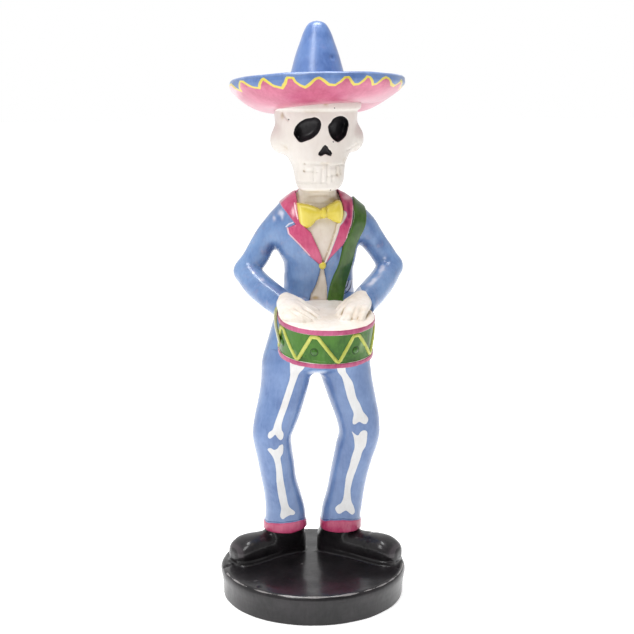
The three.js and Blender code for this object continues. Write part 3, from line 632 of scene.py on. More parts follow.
# %% The sleeves: x, y, height, radius, and the plane that ends each at the wrist
RIGHT_ARM = [
    [[-7.6, 8, 150, 6.3], [-14, 8.3, 143.8, 5.8], [-18.8, 8.8, 138.4, 5.1],
     [-22.2, 9.4, 131.8, 5.2], [-26.6, 9.6, 125.8, 4.9]],
    [[-26.5, 9.4, 125.4, 5.3], [-22.9, 2.8, 121.2, 5.65], [-18.5, -3.8, 117.7, 5.7],
     [-14.8, -9, 115.3, 5.5], [-11.6, -13.6, 113.2, 5.4]],
]
LEFT_ARM = [
    [[13.6, 8, 150.6, 6.6], [21.2, 8.3, 144.4, 6.2], [26.4, 8.8, 138.4, 5.2],
     [30.9, 9.4, 132.2, 4.9], [34.7, 9.6, 126.4, 5.1]],
    [[34.5, 9.4, 126, 5.2], [30.1, 2.8, 121.8, 5.55], [25.1, -3.8, 118.2, 5.7],
     [21, -9, 115.7, 5.6], [17.6, -13.6, 113.5, 5.4]],
]
WRISTS = [
    ([-13.6, -11, 113.8], [0.76, -0.54, -0.36]), ([19.8, -11.2, 113.9], [-0.78, -0.52, -0.35]),
]


def sleeve(upper, fore, wrist):
    upper, fore = limb(upper), limb(fore)
    middle, way = (np.array(value)[:, None] for value in wrist)

    def form(p):
        end = ((p - middle) * way).sum(0)
        return join(upper(p), meet(fore(p), end, 0.5), 1.2)

    return form


sleeves = [sleeve(*RIGHT_ARM, WRISTS[0]), sleeve(*LEFT_ARM, WRISTS[1])]

# %% The collar and the neck
COLLAR = [
    [149, 2.8, 7.6, 16.4, 9.4, 2.2], [152, 2.8, 7.7, 15.6, 9.4, 2.2],
    [154.2, 2.6, 7.8, 14.4, 9.2, 2.1], [156.5, 2.6, 8, 12.1, 8.8, 2],
    [158.9, 2.7, 8.2, 9.5, 8.4, 2],
]
NECK = [
    [140, 2.8, 6.6, 9.2, 8.2, 2], [152, 2.9, 6.2, 9.2, 8, 2], [156.5, 2.8, 5.6, 8.5, 7.2, 2],
    [160, 2.6, 5, 7.6, 6.7, 2], [168, 2.4, 4.4, 6.2, 5.3, 2],
]
collar_band, neck = column(COLLAR, 0.8), column(NECK)

# %% The strap, as rough places on the coat: x, y, height and half width
STRAP = [
    [-12.6, 8.5, 109, 2.4], [-9.8, 13, 114, 2.6], [-5.5, 16, 120, 2.8], [0, 17.6, 127, 2.8],
    [7, 18, 135, 2.8], [13.6, 17.4, 142.6, 2.8], [18, 15, 149.5, 2.8], [19.8, 11, 153.4, 2.9],
    [19.8, 7, 153.4, 3.2], [19.5, 3.6, 150.6, 3.4], [18.3, 1.2, 145, 3.45],
    [17, -0.6, 141, 3.5], [15.4, -2, 137, 3.55], [14.5, -2.2, 133, 3.55],
    [13.25, -1.6, 129, 3.55], [11.8, -1.4, 125.5, 3.45], [10.6, -1.4, 122.5, 3.45],
    [9.7, -1.2, 119, 3.5], [9, -1.4, 115.4, 3.5], [8.6, -1.6, 112, 3.5],
]
STRAP_PROUD = 0.8


def laid_on(form, rows):
    """Moves rows of x, y, height, ... onto a form's surface."""
    rows = np.array(rows, float)
    for _ in range(4):
        value, slope = slope_of(form, rows[:, :3].T)
        rows[:, :3] -= (slope * value / np.maximum((slope**2).sum(0), 0.2)).T
    return rows.tolist()


# %% The coat before it is cut open
SHIRT_FOOT = 101  # behind the drum


def uncut_cloth(p):
    cloth = meet(trunk(p) - COAT_THICK, COAT_FROM - p[2], 0.5)
    return join(cloth, join(sleeves[0](p), sleeves[1](p)), 3.5)


def chest_front(p):
    """Negative in the front part of the trunk, which the outlines are pressed into."""
    return p[1] - np.interp(p[2], [148, 151], [6, 10])


def back_seam(p):
    return 0.3 * ridge(p[0] - MIDDLE, 0.4) * (p[1] > 9)


strap_tube = limb(laid_on(uncut_cloth, STRAP), per=2)


# %% The whole coat in layers
def coat_layers(p):
    x, y, height = p
    cloth, front = uncut_cloth(p), chest_front(p)
    lapels = [outline_away(x, height, lapel) for lapel in (RIGHT_LAPEL, LEFT_LAPEL)]
    facing = meet(cloth - COAT_THICK, meet(np.minimum(*lapels), front), 0.4)
    chest = outline_away(x, height, SHIRT_V)
    opening = np.minimum(chest - 0.5, outline_away(x, height, SHIRT_GAP))
    cloth = cut(cloth, meet(opening, front), 0.3)
    cloth = cloth + 0.3 * ridge(line_away(x, height, COAT_HEM), 0.45) * (y < 4)
    cloth = cloth + back_seam(p) * (height < 150)
    bent = height + 0.03 * (x - 2.7) ** 2
    rings = ridge(bent - 157.9, 0.45) + ridge(bent - 154.9, 0.45)
    collar = cut(collar_band(p), meet(chest, y - 7), 0.4)
    return {
        "shirt": join(trunk(p), neck(p) + 0.28 * rings, 1.0),
        "cloth": cloth,
        "facing": join(facing, collar, 0.4),
        "strap": meet(strap_tube(p), cloth - STRAP_PROUD, 0.35),
    }


def tailcoat(p):
    layers = coat_layers(p)
    body = join(layers["shirt"], layers["cloth"], 0.1)
    body = join(body, layers["facing"], 0.1)
    body = join(body, layers["strap"], 0.15) + 0.07 * uneven(p, 13) + 0.05 * uneven(p, 5.5)
    return meet(body, SHIRT_FOOT - p[2], 1.0)


# %% [markdown]
# The coat's paint follows its layers: each paint goes up to the crease where its layer meets the
# next. Over that come the marks of the brush: dry edges, a few strokes of ink, and washes, which
# are soft spots laid thinly over the colour beneath. Some marks are painted light: pale lines on
# the lapels' edges and the collars, pale spots and a streak on a shoulder and the forearms, and a
# line above the notch are painted highlights; dark spots in the armpits, by the lapel and on the
# far upper arm are painted shade; brown washes on the neck and shirt are partly stains and partly
# painted shade.

# %% Marks on the coat: x and height, and for washes half width, half height and strength
MIST = [[13.6, 122], [18.6, 122], [18.4, 116.3], [13, 118.2], [13.2, 115.6], [13.6, 117.8]]
# a painted highlight in a line above the notch
NOTCH_HIGHLIGHT = [[-11, 145.1], [-9.9, 146.2], [-8.2, 146.9]]
INK = [[[17.2, 122], [16, 118.8], [14.4, 117.2], [11.9, 116.6], [9.8, 116.2]],
       [[15.2, 122], [14.6, 119.8], [12.9, 118.3]]]
# painted highlights: pale lines along the lapels' edges
LAPEL_HIGHLIGHTS = [RIGHT_LAPEL[6:10], LEFT_LAPEL[3:8], [[-7.4, 154.6], [-6.9, 151], [-6.4, 148.4]]]
PIPED = LEFT_LAPEL[11:19]
# Painted highlights: pale spots on a shoulder and the forearms, and a streak along one forearm
HIGHLIGHT_SPOTS = [
    [-12.6, 150.4, 1.5, 1.5, 1], [-15.4, 148.3, 0.8, 1, 0.6], [-12.4, 148.6, 0.7, 1, 0.5],
    [-24.6, 126.2, 1.2, 0.8, 0.6], [-21.4, 123.9, 1.5, 0.8, 0.6], [31, 130.4, 0.9, 0.8, 0.6],
]
HIGHLIGHT_STREAK = [[31, 130.6], [30, 127.4], [27.2, 124.9], [23.4, 122.3], [20.2, 120.6]]
# Painted shade: dark spots in the armpits, beside the lapel, under an arm and on the far upper arm
SHADE = [
    [-18.6, 133.8, 3.4, 3, 0.6], [-16.2, 136.4, 3, 2.2, 0.6], [22.6, 136, 3.6, 2.4, 0.7],
    [20, 138.4, 2.6, 2.2, 0.6], [10, 133.4, 1.1, 3, 0.8], [-14.2, 121.2, 2, 1.4, 0.6],
    [25.6, 141.4, 3, 4, 0.5], [29.4, 136.6, 3, 4, 0.5], [24, 147, 2.4, 3.4, 0.3],
]
PLUM = [[14.9, 151.6, 1.2, 3.6, 1], [13.4, 147, 1.4, 1.8, 0.8], [14.8, 149, 0.8, 0.8, 0.8]]
# painted highlights on the collars
COLLAR_HIGHLIGHTS = [[15, 156.6, 2.4, 1.6, 1], [-8.2, 151.2, 0.7, 2, 0.6]]
# Brown washes in the neck's creases, above the bow and at the foot of the shirt: partly stains,
# partly painted shade
SHIRT_STAIN_AND_SHADE = [
    [8.6, 156, 2.4, 1.2, 0.8], [0.8, 115.6, 2, 1, 1], [2.7, 157.4, 7, 0.7, 0.4],
    [2.7, 154.4, 7, 0.6, 0.4], [5.3, 117, 0.5, 3, 0.5],
]
COLLAR_EDGE = 157.2


# %% Ways to lay paint on
def layer_paint(name):
    """How far a point lies inside one layer's paint: up to the crease with the nearest other."""
    def amount(p):
        layers = coat_layers(p)
        own = layers.pop(name)
        return np.minimum.reduce(list(layers.values())) - own
    return amount


def in_front(spots, deep):
    """Washes that only reach the front of a form, and thin out towards its side."""
    return lambda p: washes(p[0], p[2], spots) * np.clip((deep + 2 - p[1]) / 4, 0, 1)


def within(paint, wash):
    """A wash that stays inside another paint."""
    return lambda p: wash(p) * (paint(p) > 0)


def drawn(lines, half_width, deep=6):
    """Brush lines on the front of a form."""
    def amount(p):
        away = np.minimum.reduce([line_away(p[0], p[2], line) for line in lines])
        return np.where(p[1] < deep, half_width - away, FAR)
    return amount


# %% The coat's paints
shirt_paint, facing_paint = layer_paint("shirt"), layer_paint("facing")


def piping(p):
    """The bare inner edge of the figure's left lapel, which narrows towards the button."""
    wide = np.interp(p[2], [130, 148], [0.6, 1.35])
    return wide - line_away(p[0], p[2], PIPED) + FAR * (p[1] > 4)


def pink_paint(p):
    """The lapels, and the collar with its upper edge, but not the bare piping."""
    upper_edge = np.minimum(p[2] - COLLAR_EDGE, -shirt_paint(p))
    return np.minimum(np.maximum(facing_paint(p), upper_edge), -piping(p))


def highlight_paint(p):
    """Painted highlights on a shoulder and the forearms, and a broken streak of painted highlight
    along one of them.
    """
    streak = ridge(line_away(p[0], p[2], HIGHLIGHT_STREAK), 0.75) * np.clip(0.7 + 0.7 * uneven(p, 8), 0, 1)
    return in_front(HIGHLIGHT_SPOTS, 12)(p) + np.where(p[1] < 12, 0.8 * streak, 0)


def mist_paint(p):
    """Pale places on the blue: a patch beside the strap, and a painted highlight in a line above
    the notch.
    """
    away = np.minimum(outline_away(p[0], p[2], MIST), line_away(p[0], p[2], NOTCH_HIGHLIGHT) - 0.35)
    return np.where(p[1] < 8, -away, FAR)


coat_piece = piece_of(
    "tailcoat", tailcoat, [(-34, -16, 99), (42, 22, 168)], 0.42,
    {
        "mist": mist_paint,
        "ink": drawn(INK, 0.3),
        "cream": lambda p: np.maximum(shirt_paint(p), piping(p)),
        "stain_and_shade": within(shirt_paint, in_front(SHIRT_STAIN_AND_SHADE, 4)),
        "painted_highlight": highlight_paint,
        "shade": in_front(SHADE, 12),
        "pink": pink_paint,
        "plum": within(facing_paint, in_front(PLUM, 9)),
        "collar_highlight": within(facing_paint, in_front(COLLAR_HIGHLIGHTS, 12)),
        "lapel_highlights": drawn(LAPEL_HIGHLIGHTS, 0.32),
        "green": layer_paint("strap"),
    },
)

# %% [markdown]
# The tails hang behind as a skirt of the same cloth. Seen from the side, its front edge runs
# back and down, and seen from behind, a vent opens below the seat.

# %% The tails
SKIRT = [
    [66, MIDDLE, 13.5, 12, 4, 2.3], [70, MIDDLE, 12, 20, 7.2, 2.4],
    [80, MIDDLE, 9.6, 22.9, 11.6, 2.3], [85, MIDDLE, 8, 23.2, 13, 2.3],
    [91, 3, 7.8, 22.4, 13.2, 2.3], [104.5, 3.4, 7.2, 18.9, 12, 2.3],
    [118, 3.6, 6.9, 13.6, 9.6, 2.2],
]
SKIRT_FRONT = [
    [-20, 60], [17, 60], [16, 67], [9.5, 73], [4, 80], [-0.4, 91], [-3, 104], [-6, 115], [-20, 119],
]
VENT = [[0.3, 92], [0.6, 86], [3.5, 80], [7, 71], [10, 64], [14, 58]]  # half width, height
vent = [[MIDDLE - half, height] for half, height in VENT]
vent += [[MIDDLE + half, height] for half, height in VENT[::-1]]
skirt = column(SKIRT, 1.0)


def tails(p):
    """A skirt that is open in front and has a vent behind."""
    cloth = cut(skirt(p), outline_away(p[1], p[2], SKIRT_FRONT), 0.8)
    cloth = cut(cloth, meet(outline_away(p[0], p[2], SHIRT_GAP), chest_front(p)), 0.3)
    cloth = cloth + back_seam(p)
    return cut(cloth, outline_away(p[0], p[2], vent), 0.8) + 0.12 * uneven(p, 15)


tail_piece = piece_of("coat_tails", tails, [(-23, -7, 64), (28, 24, 119)], 0.45)

# %% [markdown]
# ## The bow tie and the button
# Two wings flare from a knot, with creases that fan out from it. The wings are a drawn outline,
# puffed up towards the middle. The coat's one button has the same paint, so it is part of this.

# %% The bow tie and the button
BOW_PLANE = -4.2
BOW = [
    [-6.6, 154.2], [-5.8, 154.8], [-1.3, 154], [1.3, 153.1], [2.7, 152.6], [4.5, 153],
    [6.5, 154.1], [8.5, 155], [9.6, 155.7], [11.1, 155.6], [11.9, 153.5], [12.3, 150.3],
    [12, 147.5], [11.1, 146.2], [10, 146.4], [7.9, 147.3], [5.6, 148.6], [3.9, 148.5], [1.3, 147.9],
    [-0.1, 146.3], [-1.8, 144.9], [-3.6, 144.8], [-5, 145.5], [-5.9, 146.9], [-6.3, 150.6],
]
KNOT = [3.9, 150.8]
knot = egg([KNOT[0], BOW_PLANE - 0.7, KNOT[1]], [1.7, 1.4, 2.2])
button = egg([3.5, -4.4, 129.3], [1.5, 1.2, 1.6])


def bow_tie(p):
    """Puffed wings with folds that fan out, a knot with two grooves, and the coat's button."""
    u, v = p[0] - KNOT[0], p[2] - KNOT[1]
    wings = outline_away(p[0], p[2], closed_curve(BOW, 3))
    puff = 1.9 * (1 - np.exp(np.minimum(wings, 0) / 1.5)) - 0.008 * u**2
    angle = np.arctan2(v, np.abs(u))
    folds = 0.28 * np.sin(angle * 6 + 0.8) * np.clip((np.abs(u) - 1.5) / 3, 0, 1)
    face = BOW_PLANE - puff - folds - p[1]
    slab = meet(meet(wings, face, 0.8), p[1] - BOW_PLANE - 5)
    grooves = 0.35 * ridge(np.abs(u - 0.1) - 1.15, 0.3) * (np.abs(v) < 2.4)
    return join(join(slab, knot(p), 0.5) + grooves, button(p))


bow_piece = piece_of("bow_tie", bow_tie, [(-9, -9, 125), (14, 2, 158)], 0.3)

# %% [markdown]
# ## The drum and the hands
# The drum is turned like the base, and tilted. The hands lie on its head: the fingers are thin
# limbs from the wrist on, pressed together with soft joins, so that their bones show as low
# ridges. The strap's end hangs beside the drum.

# %% The drum
DRUM_RADIUS, DRUM_DEPTH, TAPER, SQUARE = 19.4, 15.7, 0.024, 2.14
HOOP, TOP_HOOP, LOW_HOOP = 0.5, 1.9, 1.7
drum_middle = np.array([2.42, -22.3, 112.2])
drum_turn = turned(7.84, 0.225)
SHELL = DRUM_RADIUS - HOOP
DEGREE = math.radians(DRUM_RADIUS)  # mm round the drum
DRUM = [
    [0, -DRUM_DEPTH], [DRUM_RADIUS, -DRUM_DEPTH], [DRUM_RADIUS, LOW_HOOP - DRUM_DEPTH],
    [SHELL, LOW_HOOP + 0.25 - DRUM_DEPTH], [SHELL, -TOP_HOOP - 0.25],
    [DRUM_RADIUS, -TOP_HOOP], [DRUM_RADIUS, 0], [DRUM_RADIUS - 1.0, 0], [0, 0],
]
SCARS = [  # curls and grains on the shell: turn from the front in degrees, height, radius, depth
    [-52, -9.5, 0.5, 0.5], [-38, -11.6, 0.6, -0.5], [-33, -10.8, 0.4, -0.5], [-8, -8.0, 0.5, 0.5],
    [16, -11.4, 0.6, -0.5], [21, -10.6, 0.5, 0.5], [44, -9.0, 0.6, 0.4], [66, -8.4, 0.5, -0.4],
    [-1, -12.4, 0.5, -0.4], [50, -12.0, 0.45, -0.5],
]


def on_drum(p):
    """A point seen from the drum: its turn from the front, radius, and height above the head."""
    x, y, over = drum_turn.T @ (p - drum_middle[:, None])
    radius = (np.abs(x) ** SQUARE + np.abs(y) ** SQUARE) ** (1 / SQUARE)
    return np.degrees(np.arctan2(x, -y)), radius - TAPER * over, over


def drum(p):
    turn, radius, over = on_drum(p)
    scars = sum(depth * ridge(np.hypot((turn - at) * DEGREE, over - level), size)
                for at, level, size, depth in SCARS) / 2
    return outline_away(radius, over, DRUM) + 0.06 * uneven(p, 9) - scars * (radius > SHELL - 2)


def head_height(x, y):
    """The height of the drum's head under a place."""
    up = drum_turn[:, 2]
    return drum_middle[2] - (up[0] * (x - drum_middle[0]) + up[1] * (y - drum_middle[1])) / up[2]


# %% The hands: x, y, height of its top above the drum's head, radius
RIGHT_HAND = [
    [[-12.4, -11.5, 6, 3.6], [-9, -14.8, 5.4, 2.6], [-5.3, -16.5, 3.6, 1.8],
     [-1.2, -17, 1.4, 1.3]],
    [[-12.8, -12, 6.2, 3.6], [-9.6, -18.5, 5.2, 2.6], [-5.8, -22.6, 3.8, 1.8],
     [-1.9, -25.4, 1.5, 1.4]],
    [[-13, -12.5, 6.2, 3.6], [-11, -21, 4.9, 2.6], [-7.6, -26.4, 3.7, 1.8],
     [-3.6, -28.4, 1.5, 1.4]],
    [[-13.2, -12.8, 6, 3.6], [-12.6, -23, 4.5, 2.5], [-9.8, -28.2, 3.4, 1.8],
     [-5.8, -29.9, 1.5, 1.4]],
    [[-13.4, -13, 5.8, 3.6], [-13.8, -24.5, 4, 2.3], [-12, -29.1, 3, 1.7],
     [-8.3, -30.4, 1.5, 1.4]],
    [[-13.6, -13.4, 5.4, 3.2], [-14.8, -25, 3.4, 1.8], [-13.8, -28.4, 2.6, 1.6],
     [-10.6, -30.2, 1.4, 1.3]],
]
LEFT_HAND = [
    [[18.2, -11.5, 6.2, 3.4], [14.2, -14.8, 5.2, 2.5], [11, -16, 3.8, 1.8], [8.4, -16.6, 1.4, 1.3]],
    [[18.4, -12, 6.4, 3.4], [13.8, -17.5, 5.2, 2.5], [10.4, -20.4, 4, 1.7], [7.4, -22.6, 1.4, 1.3]],
    [[18.6, -12.4, 6.5, 3.5], [14.4, -19, 5, 2.5], [11.2, -24, 4, 1.7], [8.1, -29.2, 1.5, 1.3]],
    [[18.8, -12.6, 6.5, 3.5], [15.4, -19.4, 5, 2.4], [12.8, -24.2, 4, 1.6], [9.7, -29.7, 1.5, 1.3]],
    [[19, -12.8, 6.3, 3.4], [17, -19.6, 4.8, 2.4], [15.2, -23.8, 4, 1.6], [12.8, -29, 1.5, 1.3]],
    [[19.2, -13, 5.9, 3.2], [18.6, -20.4, 4.4, 2.1], [17.4, -24.4, 3.8, 1.6],
     [15, -30.2, 1.5, 1.3]],
]


def hand(rays):
    """Rays run from the wrist to a fingertip each, laid on the drum's head."""
    placed = [[[x, y, head_height(x, y) + top - r, r] for x, y, top, r in ray] for ray in rays]
    fingers = [limb(ray, per=4) for ray in placed]

    def form(p):
        answer = fingers[0](p)
        for finger in fingers[1:]:
            answer = join(answer, finger(p), 0.22)
        return answer + 0.16 * uneven(p, 3.6)

    return form


hands = [hand(RIGHT_HAND), hand(LEFT_HAND)]
palms = [egg([-10.6, -18.6, 114.9], [4.6, 7.6, 2.7]), egg([17, -15, 115.4], [4, 5.6, 2.6])]


def both_hands(p):
    sides = [join(fingers(p), palm(p), 1.2) for fingers, palm in zip(hands, palms)]
    return join(*sides)


def drum_and_hands(p):
    return join(drum(p), both_hands(p), 0.7)


# %% The drum's paints, which stop short of the hands
OFF_HOOP, OFF_HAND = 0.15, 0.2


def shell_paint(p):
    _, radius, over = on_drum(p)
    under_top, over_low = -TOP_HOOP - OFF_HOOP - over, over + DRUM_DEPTH - LOW_HOOP - OFF_HOOP
    off_hand = both_hands(p) - OFF_HAND
    return np.minimum.reduce([under_top, over_low, radius - DRUM_RADIUS + 2, off_hand])


def hoop_paint(p):
    _, radius, _ = on_drum(p)
    return np.minimum(radius - DRUM_RADIUS + 0.3, both_hands(p) - OFF_HAND)


# %% Painted shade in a ring round each stud, one under each peak of the lacing
PEAKS, FIRST_PEAK = 7, -22.2  # degrees from the front
STUD_LEVEL, STUD_SIZE = -9.2, 1.3


# painted shade round each stud
def stud_shade_paint(p):
    turn, radius, over = on_drum(p)
    step = 360 / PEAKS
    aside = ((turn - FIRST_PEAK + step / 2) % step - step / 2) * DEGREE
    ring = 0.4 - np.abs(np.hypot(aside, over - STUD_LEVEL) - STUD_SIZE - 0.1)
    return np.where(radius > SHELL - 1, ring, FAR)


# %% Painted highlights, pale marks and painted shade on the shell: mm round from the front, and heights
# painted highlights: pale sage places on the shell
SHEEN = [
    [13.6, -7.5, 2.6, 5.5, 0.9], [-16.6, -11.6, 2.4, 3, 0.8], [-3.4, -9, 3.4, 4, 0.35],
    [-12, -5, 3, 2, 0.3], [9.6, -10, 3, 3, 0.4],
]
# painted shade: darker green near the top and the foot of the shell, and along its right edge
SHELL_SHADE = [
    [3.2, -4.8, 4.2, 2, 0.45], [-9, -4.6, 3, 1.6, 0.4], [8.4, -12.9, 5, 0.9, 0.8],
    [-12.4, -12.6, 3, 0.8, 0.7], [17.6, -8, 0.9, 6, 0.9], [-2.4, -6.6, 2, 0.8, 0.5],
]
CURLS = [
    [[-8, -12.6], [-5.4, -12.9], [-3, -13]], [[-2.4, -13.3], [-2, -13.9]],
    [[-1.3, -13.2], [-0.5, -13.6], [0.2, -13.3]], [[0.8, -13.5], [1.6, -13.3]],
    [[-17.6, -7.4], [-17.2, -10.4], [-16.4, -13.2]], [[10.2, -8.8], [11.2, -9.7]],
]


# Painted highlights on the shell, and pale curled marks and lines near its foot
def sheen_paint(p):
    turn, _, over = on_drum(p)
    lines = 0.26 - np.minimum.reduce([line_away(turn * DEGREE, over, curl) for curl in CURLS])
    soft = washes(turn * DEGREE, over, SHEEN) - 0.25
    return np.where(shell_paint(p) > 0.1, np.maximum(2 * lines, soft), FAR)


# painted shade on the shell
def shell_shade_paint(p):
    turn, _, over = on_drum(p)
    return washes(turn * DEGREE, over, SHELL_SHADE)


drum_piece = piece_of(
    "drum_and_hands", drum_and_hands, [(-20, -44, 94), (26, 0, 124)], 0.38,
    {
        "pink": hoop_paint,
        "green": shell_paint,
        "ring": stud_shade_paint,
        "sheen": sheen_paint,
        "deep": within(shell_paint, shell_shade_paint),
    },
)

# %% The strap's end
STRAP_END = [  # x, y, height
    [-15.6, -9, 118], [-16.9, -14, 113.5], [-17.5, -17.5, 110], [-17.4, -20, 107],
    [-16.9, -22, 104], [-16.4, -23, 101],
]
STRAP_TOP, STRAP_FOOT = 118, 101.5
STRAP_THIN, STRAP_WIDE = 0.6, 3.0  # halves


def strap_end(p):
    """A flat band that hangs at the drum's side."""
    place, path = smooth_rows([[-height, x, y] for x, y, height in STRAP_END], 0.5)
    x, y = (np.interp(-p[2], place, line) for line in path.T)
    side = oval(p[0] - x, p[1] - y, STRAP_THIN, STRAP_WIDE, 2.6)
    return meet(side, np.maximum(STRAP_FOOT - p[2], p[2] - STRAP_TOP), 0.4)


strap_piece = piece_of("strap_end", strap_end, [(-23, -27, 96), (-13, -3, 120)], 0.35)

# %% [markdown]
# ## The skull
# A blunt box of bone, narrow at the chin and flared at the cheeks. The eyes and the nose are
# drawn outlines pressed in to a flat floor, the nose as an upside-down heart. The teeth are only
# shallow grooves, half filled with paint. The top of the skull ends inside the hat.

# %% The skull
SKULL = [
    [159.4, 2, -1.6, 5.6, 6, 2.3], [161, 2.2, -1.8, 8.2, 8.2, 2.4], [163.8, 2.5, -2, 9.6, 9.4, 2.5],
    [168, 2.4, -1.6, 10.2, 10.6, 2.6], [171.5, 2.1, -0.6, 11.1, 11.8, 2.6],
    [175, 1.9, 1.8, 13.2, 14, 2.5], [179.5, 1.9, 3.6, 15.2, 15.7, 2.45],
    [185.5, 1.9, 4, 16.3, 16.2, 2.45], [191.5, 1.95, 4, 16.8, 16.6, 2.45],
    [197, 2, 4, 17.2, 16.8, 2.4],
]
HAT_BAND = [
    [192, 2, 4, 17.2, 16.9, 2.4], [192.8, 2, 4, 18, 17.7, 2.4], [194.8, 2, 4, 18.2, 17.9, 2.4],
    [197.5, 2, 4, 17.6, 17.4, 2.4],
]
EYES = [
    [[-8.6, 183.9], [-7.9, 186], [-6.2, 187.8], [-4.1, 188.9], [-2, 189.2], [-0.8, 189.5],
     [0.7, 188.9], [1.6, 187.5], [1.5, 185.6], [0.7, 183.8], [-0.6, 182.3], [-2.5, 181.1],
     [-4.6, 180.3], [-5.8, 179.9], [-6.9, 180.3], [-7.8, 181.5], [-8.5, 182.6]],
    [[4.7, 186.4], [5.7, 187.3], [6.6, 188.7], [8.1, 189.6], [9.9, 189.9], [11.7, 189.2],
     [12.9, 187.9], [13.2, 186.4], [12.8, 184.8], [12.2, 182.7], [11.2, 181.4], [9.6, 180.3],
     [8.7, 179.9], [7.4, 180.5], [6.1, 181.7], [5.1, 183.5], [4.8, 185.1]],
]
NOSE = [
    [3.4, 178.6], [2.6, 177.9], [1.8, 176.7], [0.9, 175.7], [0.8, 174.9], [1.5, 174.5],
    [2.3, 174.7], [3.5, 175.4], [4.7, 174.7], [5.7, 174.5], [6.1, 175.4], [5.6, 176.3],
    [4.8, 176.8], [4.3, 178],
]
EYE_DEPTH, NOSE_DEPTH = 4.8, 1.8
bone = column(SKULL, 1.5)
band = column(HAT_BAND, 0.5)
CHEEK = [4.9, 7.6, 6.1]
cheeks = [egg([-11.8, 2.6, 180.6], CHEEK, 14), egg([16.4, 2.6, 181], CHEEK, -14)]

# %% Grooves in the bone: lines of x and height, and how deep each is pressed
GROOVE_WIDTH = 0.45
GROOVES = [
    ([[-4.5, 171.4], [3.6, 171.1], [6, 170.4], [10.7, 170.8]], 0.3),
    ([[-4.7, 168.4], [0.1, 168.3]], 0.3), ([[4.3, 169.7], [8.1, 169.7]], 0.2),
    ([[4.6, 166.4], [8.8, 166.9]], 0.25), ([[-6.5, 163.4], [3.6, 163.8]], 0.3),
    ([[-7.3, 171.1], [-7.3, 168.2]], 0.2), ([[-4.5, 171.1], [-4.5, 168.3]], 0.3),
    ([[-1, 169.7], [-1, 164.7]], 0.3), ([[2.2, 169.4], [2.2, 164.1]], 0.35),
    ([[4.4, 170.9], [4.4, 163.5]], 0.35), ([[6.5, 166.6], [6.5, 164.6]], 0.3),
    ([[8.3, 170.1], [8.3, 166.9]], 0.3), ([[10, 169.7], [10, 167.4]], 0.25),
    ([[-12.6, 191.4], [-12, 190], [-10.9, 188.5]], 0.3),
    ([[-12.9, 178.8], [-11.2, 177.8], [-10.1, 176.4], [-9.4, 173.6]], 0.22),
    ([[18.5, 179], [15.4, 177.1], [13, 176.4]], 0.2),
]
# Brown washes: stains on the teeth, the nub and the temple, and painted shade under the hat band
# and the chin
STAINS_AND_SHADE = [  # x, height, half width and half height of the brown washes, and their strength
    [9, 167.2, 2.4, 3, 0.4], [3.2, 195, 1.6, 1.3, 0.7], [3, 169.6, 1.6, 1.2, 0.35],
    [-11.6, 177.4, 1.6, 1.8, 0.3], [-12.8, 189.8, 0.9, 1.8, 0.6], [-2, 191.6, 8, 0.9, 0.3],
    [3.2, 171.6, 3.2, 1, 0.3], [11.6, 172.6, 1.2, 2.2, 0.3], [0, 159.8, 6, 1.2, 0.5],
]
SPECKS = [[6.7, 179.9], [6.1, 160.5], [-10.6, 188.6], [6.9, 193.2]]


def skull_parts(p):
    """The head with its cheeks, grooves and hat band, and the holes to cut from it."""
    x, y, height = p
    front = np.clip(-y / 4, 0, 1)
    head = bone(p)
    for cheek in cheeks:
        head = join(head, cheek(p), 2.5)
    for line, depth in GROOVES:
        head = head + 1.4 * depth * front * ridge(line_away(x, height, line), GROOVE_WIDTH)
    eyes = [outline_away(x, height, closed_curve(eye, 2)) for eye in EYES]
    holes = meet(np.minimum(*eyes), -head - EYE_DEPTH, 3.0)
    nose = meet(outline_away(x, height, NOSE), -head - NOSE_DEPTH, 0.8)
    ledge = band(p) + 0.1 * ridge(np.hypot(x - 3.2, height - 194.9), 1.5) * (y < 0)
    return {"head": join(head, ledge, 0.4), "holes": meet(np.minimum(holes, nose), y - 2)}


# %% The skull under the hat
HAT_PLACE = np.array([2.4, 4, 190.9])
INSIDE_HAT = 3.4  # how far the skull goes up into the hat
hat_turn = turned(-5.5, -0.6)


def on_hat(p):
    """A point seen from the hat: x, y and height above the brim's lowest place."""
    return hat_turn.T @ (p - HAT_PLACE[:, None])


def skull(p):
    parts = skull_parts(p)
    head = meet(parts["head"], on_hat(p)[2] - INSIDE_HAT)
    return cut(head, parts["holes"], 0.5) + 0.1 * uneven(p, 12)


# stains, and painted shade under the hat band and the chin
def stain_and_shade_paint(p):
    return washes(p[0], p[2], STAINS_AND_SHADE) * (p[1] < 0)


def speck_paint(p):
    away = [np.hypot(p[0] - x, p[2] - height) for x, height in SPECKS]
    return np.where(p[1] < 0, 0.35 - np.minimum.reduce(away), FAR)


skull_piece = piece_of(
    "skull", skull, [(-19, -16, 158), (24, 25, 200)], 0.35,
    {
        "stain_and_shade": stain_and_shade_paint,
        "black": lambda p: np.maximum(0.25 - skull_parts(p)["holes"], speck_paint(p)),
    },
)

# %% [markdown]
# ## The hat
# The hat is turned in one: a brim that sweeps up to a rolled edge, and a tall crown with a
# round top. It sits tilted on the skull. The brim's zigzag is a drawn line with pink under it.

# %% The hat
HEAD_RADIUS, BRIM_RADIUS = 17, 35.5
BRIM_RISE, BRIM_SWEEP, BRIM_EDGE = 9.9, 2.1, 3.4  # mm, power of the curve, mm
CROWN_HEIGHT = 36.65
ROLL = [[0, 0.25], [0.05, 0.5], [0.1, 0.8], [0.7, 1], [1.3, 1.02], [1.9, 0.97]]
CROWN = [
    [15.6, 0.19], [13.4, 0.25], [11.9, 0.34], [10.3, 0.49], [8.8, 0.63],
    [7.15, 0.76], [5.6, 0.875], [3.3, 0.97], [0, 1],
]


